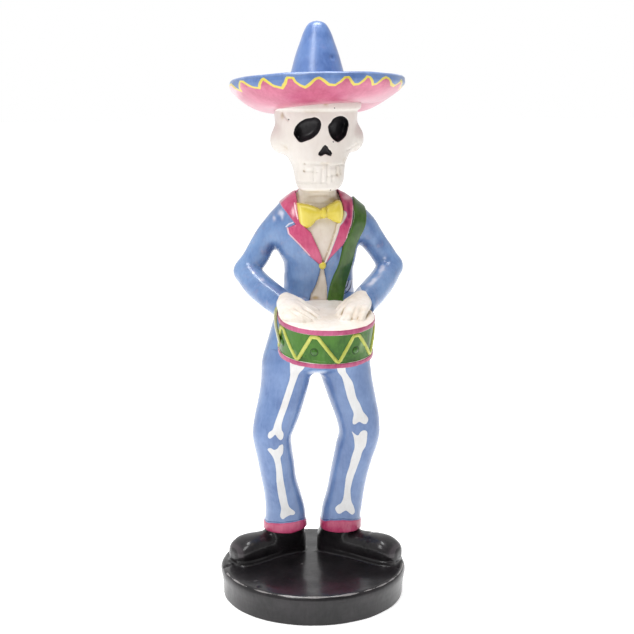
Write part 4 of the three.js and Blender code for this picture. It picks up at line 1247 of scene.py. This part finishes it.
def hat_profile():
    """Radius and height: out under the brim, round its edge, back over it and up the crown."""
    width = BRIM_RADIUS - HEAD_RADIUS
    shares = np.linspace(0, 0.97, 14)
    under = [[HEAD_RADIUS + width * t, BRIM_RISE * t**BRIM_SWEEP] for t in shares]
    edge = [[BRIM_RADIUS - inward, BRIM_RISE + BRIM_EDGE * share] for inward, share in ROLL]
    over = [[radius - 1.1, height + 2.6 + 1.6 * t + 1.4 * (1 - t) ** 2]
            for t, (radius, height) in zip(shares, under)][:1:-1]
    crown = [[i, radius, share * CROWN_HEIGHT] for i, (radius, share) in enumerate(CROWN)]
    return [[0, 0], *under, *edge, *over, *smooth_rows(crown, 0.34)[1].tolist()]


HAT = hat_profile()


def hat(p):
    """The turned hat, its crown leaning a little and its brim lifted in front."""
    x, y, over = on_hat(p)
    lean = np.interp(over, [4, 8, 36], [0, 0.36, 0.8])
    radius = np.hypot(x, y)
    whole = outline_away(np.hypot(x - lean, y), over, HAT)
    share = np.clip((radius - HEAD_RADIUS) / (BRIM_RADIUS - HEAD_RADIUS), 0, 1)
    lift = (2.2 + 0.07 * x) * np.clip((34 - radius) / 17, 0, 1) * np.clip((8 - y) / 12, 0, 1)
    whole = meet(whole, (BRIM_RISE * share**BRIM_SWEEP + lift - over) * 0.85, 0.3)
    dents = 0.5 * ridge(np.hypot(x - 5.4, over - 21), 0.9) * (y < 0)
    return whole + 0.1 * uneven(p, 14) + dents


# %% The zigzag round the brim: its corners in front, as degrees and heights
ZIGZAG = [
    [-82.1, 11.4], [-73.9, 9], [-70.2, 8.1], [-65.8, 12], [-62, 11.3], [-56.8, 9.6], [-53.2, 8.7],
    [-48.7, 8.3], [-46.5, 10], [-43.8, 11.7], [-40.3, 10.3], [-36.7, 8.6], [-31.2, 7.7],
    [-27.8, 9.5], [-26.4, 11.4], [-22.6, 11.2], [-21.2, 9.6], [-18.6, 8.4], [-15.6, 7.6],
    [-12.2, 8.7], [-8.6, 10.5], [-6.3, 10.9], [-4.1, 10.1], [-0.2, 8.4], [4, 8.2], [7.2, 9.4],
    [9.8, 10.9], [12.4, 11], [14.2, 9.6], [16.8, 8.4], [20.1, 8.6], [22.9, 10], [25, 11.4],
    [27.1, 11.1], [31.4, 8.5], [33.8, 8.8], [37.8, 10.8], [41.2, 11.5], [44.2, 11], [49.1, 9.1],
    [54.8, 8.6],
]
TOOTH, STRETCH = 360 / 21, 1.25  # degrees a tooth, and the brim's slope


def zigzag():
    """The corners seen in front, and the rest of the round by a seeded hand."""
    rng = np.random.default_rng(3)
    turns = [list(corner) for corner in ZIGZAG]
    up = True
    while turns[-1][0] < 360 + turns[0][0] - 0.8 * TOOTH:
        turns.append([turns[-1][0] + TOOTH / 2 * rng.uniform(0.85, 1.15), 11.2 if up else 8.2])
        up = not up
    return turns


ROUND = 2 * math.pi * BRIM_RADIUS  # mm round the brim
teeth = [[angle / 360 * ROUND, level * STRETCH] for angle, level in zigzag()]
teeth = [[teeth[-1][0] - ROUND, teeth[-1][1]], *teeth, [teeth[0][0] + ROUND, teeth[0][1]]]

# %% The hat's paints
TOPSIDE = [[0, 6, 12, 18.5], [3.5, 4.2, 6.6, 12.5]]  # mm out from the head, and height
RIM_LEVEL, RIM_HALF = 12.5, 0.6


def brim_paint(p):
    """Under the zigzag on the brim's outside."""
    x, y, over = on_hat(p)
    around = np.arctan2(x, -y) * BRIM_RADIUS
    around = np.where(around < teeth[1][0], around + ROUND, around)
    away = line_away(around, over * STRETCH, teeth)
    inside = np.where(over * STRETCH < np.interp(around, *zip(*teeth)), away, -away)
    topside = np.interp(np.hypot(x, y) - HEAD_RADIUS, *TOPSIDE)
    return np.where(over < topside, inside, FAR)


def rim_paint(p):
    """A rough band along the brim's edge."""
    x, y, over = on_hat(p)
    turn = np.arctan2(x, -y)
    rough = 0.2 * np.sin(turn * 23) * np.sin(turn * 9 + 1)
    at_edge = np.hypot(x, y) > BRIM_RADIUS - 1.5
    return np.where(at_edge, RIM_HALF - np.abs(over - RIM_LEVEL + rough), FAR)


def brim_reflection_paint(p):
    """Painted reflection: the pink turns pale towards both ends of the brim, in front."""
    x, y, over = on_hat(p)
    dry = (np.abs(x) - 30.5) / 4 * np.clip((8 - y) / 10, 0, 1) + 0.2 * uneven(p, 4)
    return np.minimum(dry, 0.4 + 2 * brim_paint(p)) * (over < 13)


def line_paint(p):
    return 0.62 + 0.12 * uneven(p, 6) - np.abs(brim_paint(p))


hat_piece = piece_of(
    "hat", hat, [(-35, -33.5, 186), (40, 42, 229)], 0.42,
    {
        "rim": rim_paint,
        "pink": brim_paint,
        "brim_reflection": brim_reflection_paint,
        "yellow": line_paint,
    },
)

# %% [markdown]
# ## The drum's lacing
# A cord zigzags between the hoops, and a round stud sits under each of its peaks. Both repeat
# round the drum by a rule, so Geometry Nodes make them: one circle of points, every second one
# lowered, made finer and pulled back onto the shell, then given a thickness. The studs are one
# shape, placed on a ring of points. The result is made a plain mesh, because the export reads
# no live modifier.

# %% Nodes, and trees of them
def fill(tree, node, inputs):
    """Gives each input a plain value, or a link from another node's socket."""
    for key, value in inputs.items():
        if isinstance(value, bpy.types.NodeSocket):
            tree.links.new(value, node.inputs[key])
        else:
            node.inputs[key].default_value = value
    return node


def add(tree, kind, inputs=None, **settings):
    """Adds a node with its settings and inputs."""
    node = tree.nodes.new(kind)
    for key, value in settings.items():
        setattr(node, key, value)
    return fill(tree, node, inputs or {})


def new_tree(name, kind, inputs, outputs):
    """A node group with named inputs and outputs: each input is a kind of socket and a value."""
    tree = bpy.data.node_groups.new(name, kind)
    for label, (socket, value) in inputs.items():
        item = tree.interface.new_socket(label, in_out="INPUT", socket_type=socket)
        if value is not None:
            item.default_value = value
    for label, socket in outputs.items():
        tree.interface.new_socket(label, in_out="OUTPUT", socket_type=socket)
    return tree, tree.nodes.new("NodeGroupInput").outputs, tree.nodes.new("NodeGroupOutput")


# %% Sums in a tree
def calc(tree, what, *values, kind="ShaderNodeMath"):
    return add(tree, kind, dict(enumerate(values)), operation=what).outputs[0]


def plus(tree, a, b):
    return calc(tree, "ADD", a, b)


def times(tree, a, b):
    return calc(tree, "MULTIPLY", a, b)


def ramp(tree, value, start, end, low=0.0, high=1.0, kind="LINEAR"):
    """Goes from low to high while a value goes from start to end, and stays there past them."""
    return add(tree, "ShaderNodeMapRange", {
        "Value": value, "From Min": start, "From Max": end, "To Min": low, "To Max": high,
    }, interpolation_type=kind).outputs[0]


# %% A place on the drum's shell
FLOAT, COLOR = "NodeSocketFloat", "NodeSocketColor"
GEOMETRY, MATERIAL = "NodeSocketGeometry", "NodeSocketMaterial"


def on_shell(tree, given, across, ahead, level):
    """The shell is a little square and tapers, so its radius depends on the turn and the level."""
    powers = [calc(tree, "POWER", calc(tree, "ABSOLUTE", side), SQUARE) for side in (across, ahead)]
    share = calc(tree, "POWER", plus(tree, *powers), -1 / SQUARE)
    radius = times(tree, plus(tree, given["Radius"], times(tree, level, TAPER)), share)
    return add(tree, "ShaderNodeCombineXYZ", {
        "X": times(tree, across, radius), "Y": times(tree, ahead, radius), "Z": level,
    }).outputs[0]


def at_angle(tree, given, angle, level):
    """A place on the shell at a turn from the front."""
    ahead = times(tree, calc(tree, "COSINE", angle), -1.0)
    return on_shell(tree, given, calc(tree, "SINE", angle), ahead, level)


def finished(tree, given, result, mesh):
    """Makes the copies real, smooths their shading and gives them the material."""
    real = add(tree, "GeometryNodeRealizeInstances", {0: mesh})
    smooth = add(tree, "GeometryNodeSetShadeSmooth", {"Geometry": real.outputs[0]})
    finish = add(tree, "GeometryNodeSetMaterial", {
        "Geometry": smooth.outputs[0], "Material": given["Material"]})
    fill(tree, result, {"Geometry": finish.outputs[0]})
    return tree


# %% The lacing's tree
def lacing_corner(tree, given, peaks):
    """Each corner of the zigzag is blunt: two points, wider apart at a peak than in a valley."""
    index = add(tree, "GeometryNodeInputIndex").outputs[0]
    corner = calc(tree, "FLOOR", times(tree, index, 0.5))
    side = calc(tree, "SUBTRACT", calc(tree, "MODULO", index, 2.0), 0.5)
    low = calc(tree, "MODULO", corner, 2.0)
    narrower = calc(tree, "SUBTRACT", given["Valley Width"], given["Peak Width"])
    width = plus(tree, given["Peak Width"], times(tree, low, narrower))
    angle = plus(tree, times(tree, corner, math.pi / peaks), given["Start"])
    angle = plus(tree, angle, times(tree, low, given["Lag"]))
    angle = plus(tree, angle, times(tree, side, width))
    drop = times(tree, low, calc(tree, "SUBTRACT", given["Bottom"], given["Top"]))
    return at_angle(tree, given, angle, plus(tree, given["Top"], drop))


def lacing_tree(peaks):
    """A ring of corners, made finer, pulled back onto the shell and given a thickness."""
    tree, given, result = new_tree(
        "drum lacing", "GeometryNodeTree",
        {"Radius": (FLOAT, 0.019), "Top": (FLOAT, 0.0), "Bottom": (FLOAT, 0.0),
         "Start": (FLOAT, 0.0), "Lag": (FLOAT, 0.0), "Peak Width": (FLOAT, 0.1),
         "Valley Width": (FLOAT, 0.05), "Cord": (FLOAT, 0.001), "Material": (MATERIAL, None)},
        {"Geometry": GEOMETRY},
    )
    ring = add(tree, "GeometryNodeCurvePrimitiveCircle", {"Resolution": 4 * peaks})
    corners = add(tree, "GeometryNodeSetPosition", {
        "Geometry": ring.outputs["Curve"], "Position": lacing_corner(tree, given, peaks)})
    finer = add(tree, "GeometryNodeResampleCurve", {
        "Curve": corners.outputs[0], "Count": 28 * peaks})
    here = add(tree, "GeometryNodeInputPosition").outputs[0]
    flat = calc(tree, "MULTIPLY", here, (1, 1, 0), kind="ShaderNodeVectorMath")
    outward = calc(tree, "NORMALIZE", flat, kind="ShaderNodeVectorMath")
    way = add(tree, "ShaderNodeSeparateXYZ", {0: outward}).outputs
    level = add(tree, "ShaderNodeSeparateXYZ", {0: here}).outputs["Z"]
    laid = add(tree, "GeometryNodeSetPosition", {
        "Geometry": finer.outputs[0],
        "Position": on_shell(tree, given, way["X"], way["Y"], level)})
    section = add(tree, "GeometryNodeCurvePrimitiveCircle", {
        "Resolution": 10, "Radius": given["Cord"]})
    cord = add(tree, "GeometryNodeCurveToMesh", {
        "Curve": laid.outputs[0], "Profile Curve": section.outputs["Curve"]})
    return finished(tree, given, result, cord.outputs[0])


# %% The studs' tree
def stud_tree(count):
    """One flattened ball, placed at points round the shell and turned to face out."""
    tree, given, result = new_tree(
        "drum studs", "GeometryNodeTree",
        {"Radius": (FLOAT, 0.019), "Level": (FLOAT, 0.0), "Start": (FLOAT, 0.0),
         "Size": (FLOAT, 0.001), "Material": (MATERIAL, None)},
        {"Geometry": GEOMETRY},
    )
    points = add(tree, "GeometryNodePoints", {"Count": count})
    index = add(tree, "GeometryNodeInputIndex").outputs[0]
    angle = plus(tree, times(tree, index, 2 * math.pi / count), given["Start"])
    placed = add(tree, "GeometryNodeSetPosition", {
        "Geometry": points.outputs[0], "Position": at_angle(tree, given, angle, given["Level"])})
    stud = add(tree, "GeometryNodeMeshUVSphere", {
        "Segments": 16, "Rings": 8, "Radius": given["Size"]})
    facing = add(tree, "ShaderNodeCombineXYZ", {"Z": angle})
    copies = add(tree, "GeometryNodeInstanceOnPoints", {
        "Points": placed.outputs[0], "Instance": stud.outputs["Mesh"],
        "Rotation": facing.outputs[0], "Scale": (1, 0.55, 1)})
    return finished(tree, given, result, copies.outputs[0])


# %% [markdown]
# ## Paint
# Every paint is acrylic, brushed on by hand and varnished. Three things make it look so: the
# colour is a little uneven, darker in creases as painted shade and pooled paint, and lighter on
# edges as painted highlight and worn paint; where two paints meet the border wavers, and that of a
# wash is soft; and each paint has its own gloss. Some washes are painted highlights, reflections
# and shade. The brushed colour and the border are node groups, built once and placed in each
# material.

# %% Colours
def linear(screen):
    """A colour as seen on a screen, made linear for the shader."""
    return (*(v / 3294.6 if v <= 10 else ((v / 255 + 0.055) / 1.055) ** 2.4 for v in screen), 1.0)


# The thin colour is also painted highlight on proud edges, and the thick one painted shade in
# creases.
PAINTS = {  # thin on edges, the body of the paint, thick in creases; roughness
    "blue": ((160, 186, 220), (101, 136, 186), (48, 68, 124), 0.38),
    # the coat's blue made darker for the hat: painted shade
    "shaded hat blue": ((146, 172, 214), (84, 118, 176), (48, 68, 124), 0.38),
    "rim blue": ((140, 164, 204), (94, 120, 168), (50, 70, 124), 0.4),
    "trouser": ((152, 176, 214), (105, 134, 184), (54, 74, 126), 0.42),
    # a darker blue for painted shade, above the cuffs and in the coat's armpits
    "shade blue": ((98, 122, 168), (66, 90, 144), (38, 52, 104), 0.4),
    "navy": ((60, 64, 98), (42, 46, 80), (26, 30, 58), 0.4),
    # pale blue-white: painted highlights on the coat, and a pale patch beside the strap
    "mist": ((236, 240, 248), (206, 212, 232), (140, 154, 190), 0.38),
    "bone": ((240, 235, 229), (226, 220, 213), (186, 170, 146), 0.45),
    "chalk": ((242, 243, 244), (230, 231, 232), (190, 184, 176), 0.45),
    # bone-white made lighter for the drum head and the hands: painted light from above
    "hand": ((254, 251, 246), (251, 245, 237), (206, 188, 158), 0.45),
    "shirt": ((238, 230, 220), (222, 211, 198), (186, 168, 136), 0.45),
    "brown": ((206, 186, 146), (184, 160, 116), (146, 116, 70), 0.45),
    "pink": ((238, 148, 180), (196, 50, 102), (110, 14, 54), 0.38),
    "plum": ((170, 40, 104), (138, 18, 78), (84, 8, 44), 0.38),
    # pale pink for painted highlights and painted reflections
    "highlight pink": ((252, 226, 228), (240, 192, 202), (200, 120, 144), 0.38),
    "hoop": ((226, 140, 176), (174, 52, 102), (106, 24, 58), 0.38),
    "mauve": ((230, 146, 174), (190, 78, 114), (134, 38, 74), 0.36),
    "green": ((100, 152, 50), (40, 98, 2), (18, 48, 2), 0.34),
    # dark green for painted shade on the drum
    "shade green": ((58, 104, 20), (26, 68, 2), (14, 40, 2), 0.34),
    "sage": ((196, 214, 172), (132, 162, 104), (84, 118, 60), 0.34),
    "strap": ((104, 144, 56), (50, 92, 4), (28, 48, 4), 0.34),
    "olive": ((206, 210, 156), (146, 152, 96), (88, 76, 44), 0.4),
    "cord": ((234, 234, 146), (186, 192, 76), (96, 104, 26), 0.4),
    "yellow": ((244, 232, 136), (221, 201, 64), (160, 132, 30), 0.4),
    "black": ((64, 58, 62), (9, 7, 10), (4, 4, 5), 0.45),
    # black made greyer in the eye bowls: painted reflection
    "socket": ((104, 100, 103), (34, 31, 34), (12, 11, 13), 0.5),
    # pale grey for the painted glint along the base's front edge
    "glint grey": ((190, 186, 184), (132, 128, 128), (70, 66, 68), 0.4),
}


# %% The border between two paints
def edge_group():
    """1 inside a paint and 0 outside, with a border that wavers and is as soft as asked."""
    tree, given, result = new_tree(
        "paint border", "ShaderNodeTree",
        {"Amount": (FLOAT, 0.0), "Waver": (FLOAT, 0.25), "Soft": (FLOAT, 0.12)}, {"Mask": FLOAT})
    place = add(tree, "ShaderNodeTexCoord").outputs["Object"]
    noise = add(tree, "ShaderNodeTexNoise", {"Vector": place, "Scale": 420.0, "Detail": 4.0})
    waver = times(tree, calc(tree, "SUBTRACT", noise.outputs["Fac"], 0.5), given["Waver"])
    amount = plus(tree, given["Amount"], waver)
    fill(tree, result, {"Mask": ramp(tree, amount, 0.0, given["Soft"], kind="SMOOTHSTEP")})
    return tree


# %% Brushed colour
def mix(tree, factor, a, b):
    return add(tree, "ShaderNodeMix", {0: factor, 6: a, 7: b}, data_type="RGBA").outputs[2]


def brush_group():
    """The colour of one brushed paint, the height of its strokes, and their mottle. The colour is
    darker in creases as painted shade and pooled paint, and lighter on proud edges as painted
    highlight and worn paint.
    """
    tree, given, result = new_tree(
        "brushwork", "ShaderNodeTree",
        {"Thin": (COLOR, (1, 1, 1, 1)), "Body": (COLOR, (1, 1, 1, 1)),
         "Thick": (COLOR, (0, 0, 0, 1)), "Hollow": (FLOAT, 0.0), "Uneven": (FLOAT, 0.3)},
        {"Color": COLOR, "Height": FLOAT, "Mottle": FLOAT})
    place = add(tree, "ShaderNodeTexCoord").outputs["Object"]
    cloudy = add(tree, "ShaderNodeTexNoise", {
        "Vector": place, "Scale": 90.0, "Detail": 5.0, "Roughness": 0.6}).outputs["Fac"]
    stretched = add(tree, "ShaderNodeMapping", {"Vector": place, "Scale": (1.0, 1.0, 0.3)})
    strokes = add(tree, "ShaderNodeTexNoise", {
        "Vector": stretched.outputs[0], "Scale": 900.0, "Detail": 3.0, "Distortion": 0.6,
    }).outputs["Fac"]
    lumps = add(tree, "ShaderNodeTexNoise", {
        "Vector": place, "Scale": 230.0, "Detail": 1.0}).outputs["Fac"]
    mottle = plus(tree, times(tree, cloudy, 0.75), times(tree, strokes, 0.25))
    spread = ramp(tree, mottle, 0.36, 0.64)
    # painted shade in creases, where paint also pools
    crease_shade_and_pooling = ramp(tree, given["Hollow"], 0.36, 1.15, kind="SMOOTHSTEP")
    # painted highlight on proud edges, where paint also wears thin
    edge_highlight_and_wear = ramp(tree, plus(tree, given["Hollow"], times(tree, mottle, 0.2)), -0.1, -0.5)
    colour = mix(tree, times(tree, spread, given["Uneven"]), given["Body"], given["Thick"])
    lighter = times(tree, calc(tree, "SUBTRACT", 1.0, spread), given["Uneven"])
    colour = mix(tree, lighter, colour, given["Thin"])
    colour = mix(tree, edge_highlight_and_wear, colour, given["Thin"])
    fill(tree, result, {
        "Color": mix(tree, crease_shade_and_pooling, colour, given["Thick"]),
        "Height": plus(tree, times(tree, strokes, 0.15), lumps),
        "Mottle": mottle})
    return tree


paint_border, brushwork = edge_group(), brush_group()

# %% A painted finish in layers
WASHED = ("stain_and_shade", "brim_reflection", "sheen", "deep", "painted_highlight", "shade", "plum", "collar_highlight")
SHARP, SOFT = (0.22, 0.12, 0.5), (0.6, 1.0, 0.0)  # a border's waver, softness and ridge


def attribute(tree, name):
    return add(tree, "ShaderNodeAttribute", attribute_name=name).outputs["Fac"]


def painted(name, layers, varnish=0.9, unevenness=0.2, blur=0.2):
    """Layers name a paint each, and from the second on the attribute that says where it is."""
    material = bpy.data.materials.new(name)
    material.use_nodes = True
    tree = material.node_tree
    hollow = attribute(tree, "hollow")
    colour = rough = height = None
    for paint, where in layers:
        thin, body, thick = (linear(shade) for shade in PAINTS[paint][:3])
        gloss = PAINTS[paint][3]
        brush = add(tree, "ShaderNodeGroup", {
            "Thin": thin, "Body": body, "Thick": thick, "Uneven": unevenness, "Hollow": hollow,
        }, node_tree=brushwork).outputs
        if where is None:
            colour, height = brush["Color"], brush["Height"]
            rough = calc(tree, "MULTIPLY_ADD", brush["Mottle"], 0.3, gloss - 0.15)
            continue
        waver, softness, raised = SOFT if where in WASHED else SHARP
        mask = add(tree, "ShaderNodeGroup", {
            "Amount": attribute(tree, where), "Waver": waver, "Soft": softness,
        }, node_tree=paint_border).outputs["Mask"]
        colour = mix(tree, mask, colour, brush["Color"])
        rough = add(tree, "ShaderNodeMix", {0: mask, 2: rough, 3: gloss}).outputs[0]
        height = plus(tree, height, times(tree, mask, raised))
    bump = add(tree, "ShaderNodeBump", {"Height": height, "Distance": 0.0002, "Strength": 0.6})
    fill(tree, tree.nodes["Principled BSDF"], {
        "Base Color": colour, "Roughness": rough, "Normal": bump.outputs[0],
        "Coat Weight": varnish, "Coat Roughness": blur, "Specular IOR Level": 0.2})
    return material


# %% The finishes, each named for what wears it
finishes = {
    "round_base": painted(
        "black_base", [("black", None), ("glint grey", "edge_glint")], 0.62, unevenness=0.3, blur=0.18),
    "trousers": painted("trouser_paint", [
        ("trouser", None), ("shade blue", "cuff_shade_line"), ("chalk", "bone"), ("pink", "pink"),
    ], unevenness=0.3),
    "tailcoat": painted("coat_paint", [
        ("blue", None), ("shade blue", "shade"), ("mist", "painted_highlight"), ("mist", "mist"), ("navy", "ink"),
        ("shirt", "cream"), ("brown", "stain_and_shade"), ("pink", "pink"), ("plum", "plum"),
        ("highlight pink", "collar_highlight"), ("highlight pink", "lapel_highlights"), ("strap", "green"),
    ], unevenness=0.3),
    "coat_tails": painted("tail_paint", [("blue", None)], unevenness=0.3),
    "bow_tie": painted("yellow_paint", [("yellow", None)]),
    "drum_and_hands": painted("drum_paint", [
        ("hand", None), ("green", "green"), ("shade green", "deep"), ("sage", "sheen"), ("shade green", "ring"),
        ("hoop", "pink"),
    ], 0.4, unevenness=0.4),
    "strap_end": painted("strap_paint", [("olive", None)]),
    "skull": painted("bone_paint", [
        ("bone", None), ("brown", "stain_and_shade"), ("socket", "black"),
    ], 0.35, unevenness=0.15),
    "hat": painted("hat_paint", [
        ("shaded hat blue", None), ("rim blue", "rim"), ("mauve", "pink"), ("highlight pink", "brim_reflection"),
        ("yellow", "yellow"),
    ], unevenness=0.3, blur=0.28),
    "drum_lacing": painted("cord_paint", [("cord", None)], 0.5, unevenness=0.35),
    "drum_studs": painted("stud_paint", [("green", None)]),
}

# %% The lacing and the studs, as plain meshes on the drum
def grown(name, tree, values):
    """Runs a tree on an empty mesh, and sets the result on the drum as a plain mesh."""
    host = bpy.data.objects.new(name, bpy.data.meshes.new(name))
    bpy.context.scene.collection.objects.link(host)
    modifier = host.modifiers.new("nodes", "NODES")
    modifier.node_group = tree
    sockets = {i.name: i.identifier for i in tree.interface.items_tree if i.in_out == "INPUT"}
    for label, value in {**values, "Material": finishes[name]}.items():
        modifier[sockets[label]] = value
    depsgraph = bpy.context.evaluated_depsgraph_get()
    mesh = bpy.data.meshes.new_from_object(host.evaluated_get(depsgraph))
    host.modifiers.remove(modifier)
    points = np.empty(len(mesh.vertices) * 3, np.float32)
    mesh.vertices.foreach_get("co", points)
    points = drum_turn @ (points.reshape(-1, 3).T / MM) + drum_middle[:, None]
    mesh.vertices.foreach_set("co", in_metres(points).ravel())
    mesh.update()
    host.data = mesh
    print(f"{name}: {len(mesh.polygons)} faces")
    return host


LACE_TOP, LACE_BOTTOM, LACE_CORD, LACE_SUNK = -3.0, -13.2, 0.78, 0.15
start = math.radians(FIRST_PEAK)
lacing_piece = grown("drum_lacing", lacing_tree(PEAKS), {
    "Radius": (SHELL - LACE_SUNK) * MM, "Top": LACE_TOP * MM, "Bottom": LACE_BOTTOM * MM,
    "Start": start, "Lag": math.radians(3.5), "Peak Width": 2.6 / DRUM_RADIUS,
    "Valley Width": 0.9 / DRUM_RADIUS, "Cord": LACE_CORD * MM})
stud_piece = grown("drum_studs", stud_tree(PEAKS), {
    "Radius": SHELL * MM, "Level": STUD_LEVEL * MM, "Start": start, "Size": STUD_SIZE * MM})

# %% [markdown]
# ## Riding the frame
# Every piece moves with the one CAD body, and stands in for the one CAD node.

# %% The pieces take their places
pieces = [round_base, trouser_piece, coat_piece, tail_piece, bow_piece, drum_piece, strap_piece,
          skull_piece, hat_piece]
for piece in pieces:
    piece.data.materials.append(finishes[piece.name])
for piece in [*pieces, lacing_piece, stud_piece]:
    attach(piece, "root")
    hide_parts(CASTING)

# %% [markdown]
# ## The studio
# The figure stands on a white table in a white room, as in a catalogue. Most light comes from
# all around, less from behind the camera, the sides and the ceiling, so that the forms keep
# their shade. A tall lamp to the left and one overhead give the highlights.

# %% The table
wide = 20 * SIZE
square = [(-wide, -wide, 0), (wide, -wide, 0), (wide, wide, 0), (-wide, wide, 0)]
floor = bpy.data.objects.new("floor", bpy.data.meshes.new("floor"))
floor.data.from_pydata(square, [], [(0, 1, 2, 3)])
bpy.context.scene.collection.objects.link(floor)
white = bpy.data.materials.new("white_table")
white.use_nodes = True
fill(white.node_tree, white.node_tree.nodes["Principled BSDF"], {
    "Base Color": (0.9, 0.9, 0.9, 1), "Roughness": 0.9,
    "Emission Color": (1, 1, 1, 1), "Emission Strength": 0.58})
floor.data.materials.append(white)

# %% The room
world = bpy.data.worlds.new("studio")
world.use_nodes = True
studio = world.node_tree
toward = add(studio, "ShaderNodeTexCoord").outputs["Generated"]
toward = add(studio, "ShaderNodeSeparateXYZ", {0: toward}).outputs
depth = ramp(studio, toward["Y"], -0.8, 0.0, 0.38, 0.93)
ceiling = ramp(studio, toward["Z"], 0.3, 0.8, 1.0, 0.64)
right = ramp(studio, toward["X"], 0.1, 0.9, 1.0, 0.66)
left = ramp(studio, toward["X"], -0.9, -0.2, 0.82, 1.0)
room = times(studio, times(studio, depth, ceiling), times(studio, left, right))
seen = add(studio, "ShaderNodeLightPath").outputs["Is Camera Ray"]
fill(studio, studio.nodes["Background"], {
    "Color": (1, 1, 1, 1),
    "Strength": add(studio, "ShaderNodeMix", {0: seen, 2: room, 3: 1.0}).outputs[0]})
bpy.context.scene.world = world


# %% The lamps
def lamp(name, place, size, power):
    """A flat lamp that faces the chest. Its place and size are shares of the figure's height."""
    light = bpy.data.objects.new(name, bpy.data.lights.new(name, "AREA"))
    light.data.shape = "RECTANGLE"
    light.data.size, light.data.size_y = size[0] * SIZE, size[1] * SIZE
    light.data.energy = power * SIZE**2
    light.location = Vector(place) * SIZE
    chest = Vector((0, 0, 0.6 * SIZE))
    light.rotation_euler = (chest - light.location).to_track_quat("-Z", "Y").to_euler()
    bpy.context.scene.collection.objects.link(light)


lamp("tall_box", (-1.18, -1.62, 2.83), (0.95, 1.9), 42)
lamp("top_box", (0, 0.1, 2.6), (1.5, 0.8), 40)
bpy.context.scene.view_settings.view_transform = "Standard"
